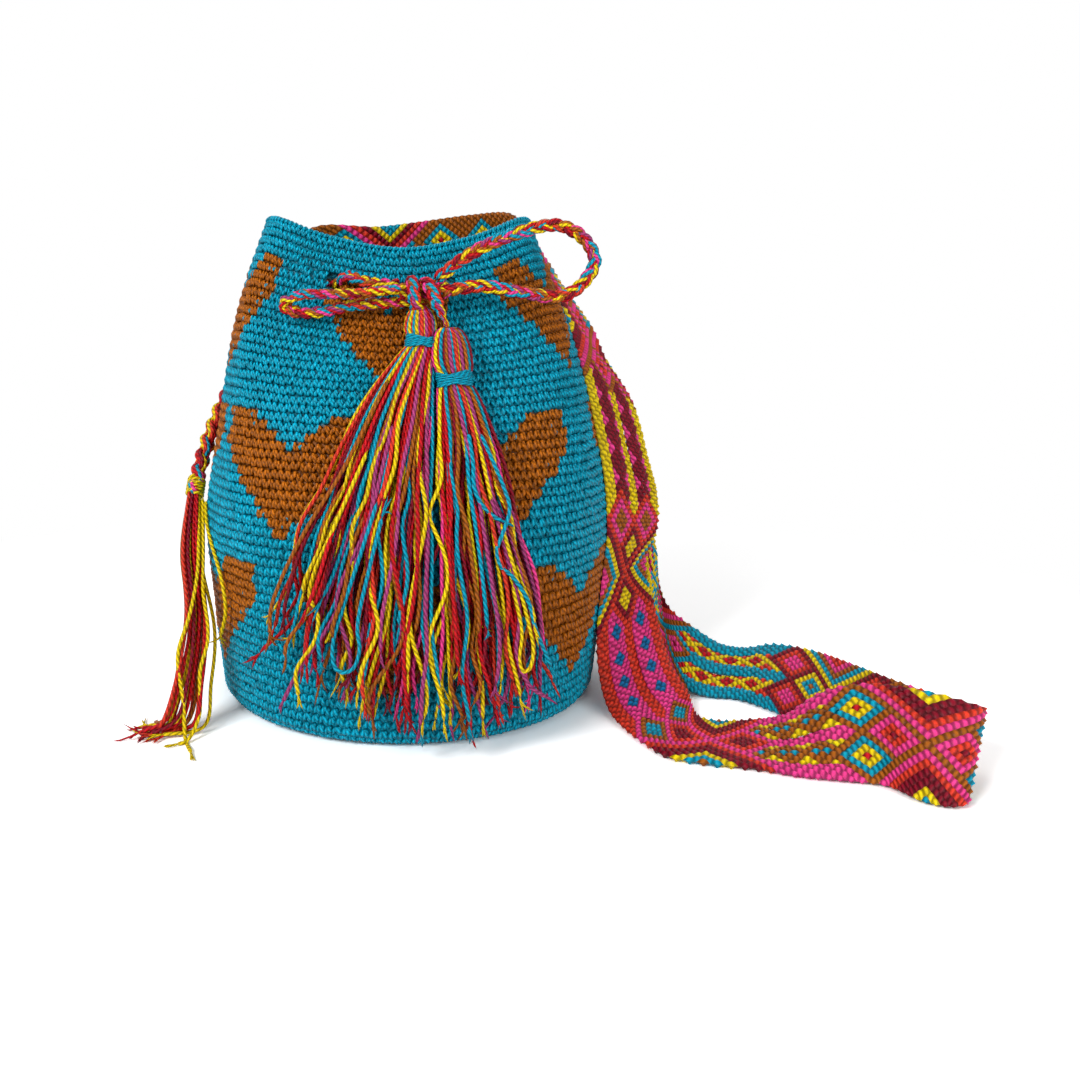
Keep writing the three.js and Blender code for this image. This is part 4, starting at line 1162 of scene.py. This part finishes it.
# Motifs as the colours of their rows of knots, from the outline in
NESTED = ("teal", "yellow", "red")
BLUSH = ("pink", "orange", "dark red")
PINK_EYE = ("pink", "brown", "brown")
YELLOW_EYE = ("dark red", "yellow", "yellow")
TEAL_EYE = ("brown", "teal", "teal")
RED_EYE = ("orange", "dark red", "dark red")
SUNNY = ("yellow", "teal", "brown")
ROSE = ("orange", "pink", "pink")
FAR_EYE = ("brown", "pink", "dark red")
CHEVRON = ("pink", "orange", "dark red", "dark red", "yellow", "teal")
PINK_EDGE = ("dark red", "yellow", "teal", "brown", "pink", "pink")
BROWN_EDGE = ("orange", "dark red", "dark red", "yellow", "teal", "brown")
LATE_EDGE = ("yellow", "teal", "brown", "pink", "orange", "red")
FAR_EDGE = ("brown", "pink", "orange", "dark red", "dark red", "yellow")
LARGE = ("pink", "orange", "dark red", "yellow", "teal", "teal")


def diamond_block(first, ground, pair, middle, edge):
    """A stretch with two small diamonds side by side, one in the middle, two large halves and one more."""
    motifs = [
        (first, 6, pair), (first, 18, pair), (first + 6, 12, middle),
        (first + 12, 0, edge), (first + 12, 24, edge), (first + 18, 12, middle),
    ]
    return first - 6, 1, first + 18, 1, ground, motifs


# Patterned stretches: first and last row, each with the way its zigzag border leans, then the ground colour
# and the motifs as (row, column, colours)
PATTERNS = [
    (0, 0, 6, 1, "brown", [(6, 0, NESTED), (6, 12, BLUSH), (6, 24, NESTED)]),
    (24, 1, 84, 1, "brown", [
        *((row, column, NESTED) for row in (30, 42, 54, 66, 78) for column in (6, 18)),
        *((row, column, BLUSH) for row in (36, 48, 60, 72) for column in (12, 24)),
        (52, 0, LARGE),
    ]),
    diamond_block(110, "brown", NESTED, BLUSH, CHEVRON),
    diamond_block(164, "orange", PINK_EYE, YELLOW_EYE, PINK_EDGE),
    diamond_block(216, "pink", TEAL_EYE, RED_EYE, BROWN_EDGE),
    (250, 1, 294, 0, "brown", [
        *diamond_block(256, "brown", NESTED, BLUSH, CHEVRON)[-1],
        (280, 6, NESTED), (280, 18, NESTED), (286, 0, BLUSH), (286, 12, BLUSH), (286, 24, BLUSH),
    ]),
    (295, 0, 328, -1, "dark red", [
        (298, 6, ROSE), (298, 18, ROSE), (304, 12, SUNNY), (310, 0, LATE_EDGE), (310, 24, LATE_EDGE),
        (316, 12, SUNNY), (322, 6, ROSE), (322, 18, ROSE),
    ]),
    (352, -1, 376, -1, "teal", [
        (352, 12, FAR_EYE), (364, 12, FAR_EYE), (358, 0, FAR_EDGE), (358, 24, FAR_EDGE),
        (370, 6, SUNNY), (370, 18, SUNNY),
    ]),
    diamond_block(410, "orange", PINK_EYE, YELLOW_EYE, PINK_EDGE),
    (450, 1, 500, 0, "brown", [
        *((row, column, NESTED) for row in (456, 468, 480) for column in (6, 18)),
        *((row, column, BLUSH) for row in (462, 474, 486) for column in (0, 12, 24)),
    ]),
]


def strap_dyes(row, column, strip):
    """Each strap knot's dye, and the way its row of knots slants, as 1 or -1."""
    dyes = np.full(len(row), "brown", object)
    slant = np.where(column > KNOT_COLUMNS / 2, 1, -1)
    phase = (row - 1) % 6
    for start, end, strips in STRIPS:
        inside = (row >= start - STRIP_REACH) & (row <= end + STRIP_REACH)
        for k, words in enumerate(strips):
            ground, dots, edges = (words.split("/") + ["", ""])[:3]
            here = inside & (strip == k)
            beside = column - STRIP_EDGES[k:k + 2].mean()
            away = np.abs(beside)
            dyes[here] = ground
            slant[here] = np.where(beside > 0, 1, -1)[here]
            if dots:
                ends = (away == 0) & np.isin(phase, (0, 2))
                sides = (away == 1) & (phase == 1) & (edges != "yellow")
                dyes[here & (ends | sides)] = dots
            if edges:
                edge = ((away == 3) & np.isin(phase, (3, 5))) | ((away == 2) & (phase == 4))
                dyes[here & edge] = edges
    zigzag = np.abs(np.abs(column - KNOT_COLUMNS // 2) - KNOT_COLUMNS // 4)
    for start, start_lean, end, end_lean, ground, motifs in PATTERNS:
        inside = (row >= start + start_lean * zigzag) & (row <= end + end_lean * zigzag)
        dyes[inside] = ground
        for centre, middle, rows in motifs:
            away = (np.abs(row - centre) + np.abs(column - middle)) // 2
            hit = inside & (away < len(rows))
            dyes[hit] = np.array(rows[::-1], object)[away[hit]]
            slanted = inside & (away <= len(rows))
            slant[slanted] = np.where((row > centre) == (column > middle), -1, 1)[slanted]
    return np.array([DYE[name] for name in dyes]), slant


def knotted_strap():
    """The band as rows of hard knots in brick order, each a small pillow on both faces."""
    stations = np.array(strap_stations())
    places = np.linspace(0, 1, STRAP_SAMPLES)
    middle_lengths = lengths_along(spline(stations[:, 1], places))
    total = middle_lengths[-1]
    rows = int(total / KNOT_LENGTH)

    def place(along, across):
        t = np.interp(along, middle_lengths, places)
        share = (across / STRAP_WIDTH + 0.5)[..., None]
        first, middle, other = (spline(stations[:, k], t) for k in range(3))
        outer = first * (2 * share - 1) * (share - 1) + other * share * (2 * share - 1)
        return outer + middle * 4 * share * (1 - share)

    row, column = np.meshgrid(np.arange(rows + 1), np.arange(KNOT_COLUMNS + 1), indexing="ij")
    brick = (row + column) % 2 == 0
    row, column = row[brick], column[brick]
    slit = np.zeros(len(row))
    for start, end, _ in STRIPS:
        part = (row - start - SLIT_INSET) / (end - start)
        open_here = (part > 0) & (part < 1)
        slit[open_here] = np.sin(math.pi * part[open_here]) ** 0.5
    # A knot on a slit is made twice, once for the strip on each side of it
    cut = np.isin(column, STRIP_EDGES[1:-1]) & (slit > 0)
    strip = np.clip(np.searchsorted(STRIP_EDGES, column, "right") - 1, 0, len(STRIP_EDGES) - 2)
    strip = np.concatenate([np.where(cut, strip - 1, strip), strip[cut]])
    row, column, slit = (np.concatenate([v, v[cut]]) for v in (row, column, slit))
    low_edge = np.where(slit > 0, STRIP_EDGES[strip], 0)[:, None]
    high_edge = np.where(slit > 0, STRIP_EDGES[strip + 1], KNOT_COLUMNS)[:, None]
    dyes, slant = strap_dyes(row, column, strip)

    # A knot's pillow: its middle, four edge middles and four corners, in steps along and across
    pillow = np.array([
        (0, 0), (0.5, 0.5), (-0.5, 0.5), (-0.5, -0.5), (0.5, -0.5), (1, 0), (0, 1), (-1, 0), (0, -1),
    ])
    quads = np.array([(0, 4, 5, 1), (0, 1, 6, 2), (0, 2, 7, 3), (0, 3, 8, 4)])
    kind = [0, 1, 1, 1, 1, 2, 2, 2, 2]
    along = np.clip((row[:, None] + pillow[:, 0]) * KNOT_LENGTH, 0, total)
    spot = column[:, None] + pillow[:, 1]
    past = np.maximum(low_edge - spot, spot - high_edge)
    is_middle = np.arange(len(pillow)) == 0
    at_edge = ((past >= 0) & ~is_middle) | (along <= 0) | (along >= total)
    spot = np.clip(spot, low_edge, high_edge)
    bulge = np.where(at_edge, EDGE_BULGE + CORNER_BULGE * np.clip(past, 0, 1), 0)
    spot = spot + np.where(spot <= low_edge, -bulge, np.where(spot >= high_edge, bulge, 0))
    gap = -STRIP_OVERLAP * slit
    low_gap = np.where(strip > 0, gap, 0)[:, None]
    high_gap = np.where(strip < len(STRIP_EDGES) - 2, gap, 0)[:, None]
    start_column = STRIP_EDGES[strip][:, None]
    columns = np.diff(STRIP_EDGES)[strip][:, None]
    width = columns * KNOT_STEP - low_gap - high_gap
    across = start_column * KNOT_STEP + low_gap + (spot - start_column) / columns * width - STRAP_WIDTH / 2
    height = np.tile(STRAP_THICKNESS / 2 - KNOT_INSET + np.array(KNOT_RELIEF)[kind], (len(row), 1))
    height[:, 0] += KNOT_UNEVEN * rng.standard_normal(len(row))
    share = np.clip((spot - start_column) / columns, 0, 1)
    height += STRIP_CROWN * slit[:, None] * (1 - 2 * (2 * share - 1) ** 2)
    height = np.where(at_edge, 0.0, np.maximum(height, KNOT_LEAST))
    lift = (STRIP_LIFT[strip] * slit ** 2)[:, None, None]
    centre = place(along, across)
    step = 0.6
    forward = place(np.clip(along + step, 0, total), across) - place(np.clip(along - step, 0, total), across)
    sideways = place(along, across + step) - place(along, across - step)
    normal = unit(np.cross(forward, sideways))
    front = centre + normal * (lift + height[..., None])
    back = centre + normal * (lift - height[..., None])
    count = len(row)
    starts = (np.arange(count) * len(pillow))[:, None, None]
    front_faces = (quads[None] + starts).reshape(-1, 4)
    back_faces = (quads[None, :, ::-1] + starts + len(pillow) * count).reshape(-1, 4)
    points = np.concatenate([front.reshape(-1, 3), back.reshape(-1, 3)])
    faces = np.concatenate([front_faces, back_faces])
    # Painted shade at the band's edges, darker beside a slit
    painted_edge_shade = EDGE_PAINTED_SHADE - SLIT_PAINTED_SHADE * (slit > 0)[:, None]
    # Painted light and shade on each knot, lighter at its middle and darker at its corners
    shade = np.where(at_edge, painted_edge_shade, np.array(KNOT_PAINTED_SHADE)[kind])[..., None]
    colours = np.clip(varied(dyes, UNEVEN_DYE["strap"])[:, None] * shade, 0, 1).reshape(-1, 3)
    steps = pillow * (KNOT_LENGTH, KNOT_STEP) / math.sqrt(2)
    along_row = steps[:, 0] + slant[:, None] * steps[:, 1]
    across_row = steps[:, 0] - slant[:, None] * steps[:, 1]
    uv = np.stack([np.zeros(along_row.shape), along_row + KNOT_PITCH / 4 + KNOT_SLANT * across_row], -1)
    face_uv = np.concatenate([uv[:, quads.ravel()], uv[:, quads[:, ::-1].ravel()]]).reshape(-1, 2)
    piece = make_piece(
        "knotted_strap", points, faces, np.concatenate([colours, colours]),
        KNOTTED_COTTON, uv=face_uv,
    )
    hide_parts("strap")


# Floor, light and camera
def seen_rays(tree):
    """One for what the camera sees, also in a shiny or clear surface, and zero for light that bounces."""
    path = add(tree, "ShaderNodeLightPath")
    shiny = add(
        tree, "ShaderNodeMath", {"operation": "MAXIMUM"},
        i0=path.outputs["Is Glossy Ray"], i1=path.outputs["Is Transmission Ray"],
    )
    seen = add(
        tree, "ShaderNodeMath", {"operation": "MAXIMUM"},
        i0=path.outputs["Is Camera Ray"], i1=shiny.outputs[0],
    )
    return seen.outputs[0]


def studio():
    floor_mesh = bpy.data.meshes.new("studio_floor")
    reach = 3.0
    corners = [(-reach, -reach, 0), (reach, -reach, 0), (reach, reach, 0), (-reach, reach, 0)]
    floor_mesh.from_pydata(corners, [], [(0, 1, 2, 3)])
    floor = bpy.data.objects.new("studio_floor", floor_mesh)
    bpy.context.scene.collection.objects.link(floor)
    # White card: the camera sees it fade to plain white away from the bag, and it keeps the shadow
    material = bpy.data.materials.new("white_card")
    material.use_nodes = True
    tree = material.node_tree
    tree.nodes.clear()
    place = add(tree, "ShaderNodeTexCoord")
    distance = add(tree, "ShaderNodeVectorMath", {"operation": "LENGTH"}, i0=place.outputs["Object"])
    fade_start, fade_end = 0.26, 0.5
    fade = add(
        tree, "ShaderNodeMapRange",
        i0=distance.outputs["Value"], i1=fade_start, i2=fade_end, i3=0.0, i4=1.0,
    )
    seen = seen_rays(tree)
    card = add(tree, "ShaderNodeBsdfDiffuse", Color=(0.8, 0.8, 0.8, 1))
    bright_card = add(tree, "ShaderNodeBsdfDiffuse", Color=(1.65, 1.65, 1.65, 1))
    white = add(tree, "ShaderNodeEmission", Strength=1.0)
    shown = add(
        tree, "ShaderNodeMixShader",
        i0=fade.outputs[0], i1=bright_card.outputs[0], i2=white.outputs[0],
    )
    mixed = add(tree, "ShaderNodeMixShader", i0=seen, i1=card.outputs[0], i2=shown.outputs[0])
    add(tree, "ShaderNodeOutputMaterial", Surface=mixed.outputs[0])
    floor_mesh.materials.append(material)

    world = bpy.data.worlds.new("studio_world")
    bpy.context.scene.world = world
    world.use_nodes = True
    tree = world.node_tree
    tree.nodes.clear()
    soft = add(tree, "ShaderNodeBackground", Color=(1, 1, 1, 1), Strength=0.3)
    plain = add(tree, "ShaderNodeBackground", Color=(1, 1, 1, 1), Strength=1.0)
    mixed = add(tree, "ShaderNodeMixShader", i0=seen_rays(tree), i1=soft.outputs[0], i2=plain.outputs[0])
    add(tree, "ShaderNodeOutputWorld", Surface=mixed.outputs[0])

    target = Vector((0.03, -0.05, 0.1))
    lamps = [
        ("key_lamp", (-0.7, -0.85, 0.75), 0.45, 11),
        ("fill_lamp", (0.65, -0.95, 0.25), 0.9, 7.5),
        ("back_lamp", (0.1, 0.7, 1.0), 0.8, 3.5),
    ]
    for name, spot, size, watts in lamps:
        data = bpy.data.lights.new(name, "AREA")
        data.size = size
        data.energy = watts
        lamp = bpy.data.objects.new(name, data)
        lamp.location = spot
        lamp.rotation_euler = (target - Vector(spot)).to_track_quat("-Z", "Y").to_euler()
        bpy.context.scene.collection.objects.link(lamp)


def photo_camera():
    """The photograph's viewpoint: in front of the bag, a little below its mouth, tilted slightly down."""
    image_width = 1080
    focal_pixels = 977.06
    data = bpy.data.cameras.new("photo_camera")
    data.sensor_width = 36
    data.lens = data.sensor_width * focal_pixels / image_width
    data.shift_x = 0.0915
    data.shift_y = -0.1448
    camera = bpy.data.objects.new("photo_camera", data)
    yaw, pitch = 0.0261, -0.0451
    place = Vector((3.42, -501.05, 174.59)) * MM
    camera.matrix_world = (
        Matrix.Translation(place)
        @ Matrix.Rotation(-yaw, 4, "Z")
        @ Matrix.Rotation(math.pi / 2 + pitch, 4, "X")
    )
    bpy.context.scene.collection.objects.link(camera)
    bpy.context.scene.camera = camera


photo_camera()
studio()
drawstring_piece("drawstring_braid", DRAWSTRING_ROUTE, "drawstring")
drawstring_piece("right_loop_braid", RIGHT_LOOP_ROUTE, "right_bow_loop")
drawstring_piece("left_loop_braid", LEFT_LOOP_ROUTE, "left_bow_loop")
bow_knot()
crochet_wall()
crochet_base()
crochet_lining()
crochet_rim()
left_body, right_body = "left_front_tassel", "right_front_tassel"
front_tassel("left_tassel", LEFT_TASSEL, LEFT_THREADS, LEFT_OUTER_DYES, LEFT_STRAYS, left_body)
tassel_binding("left_tassel", LEFT_TASSEL, left_body)
front_tassel("right_tassel", RIGHT_TASSEL, RIGHT_THREADS, RIGHT_OUTER_DYES, RIGHT_STRAYS, right_body)
tassel_binding("right_tassel", RIGHT_TASSEL, right_body)
side_tassel("left_braid", LEFT_BRAID_ROUTE, LEFT_LOOSE_THREADS, LEFT_FLOOR_WAY, LEFT_BRAID_STRAYS)
side_tassel("right_braid", RIGHT_BRAID_ROUTE, RIGHT_LOOSE_THREADS, RIGHT_FLOOR_WAY, [])
knotted_strap()

bpy.context.scene.view_settings.view_transform = "Standard"
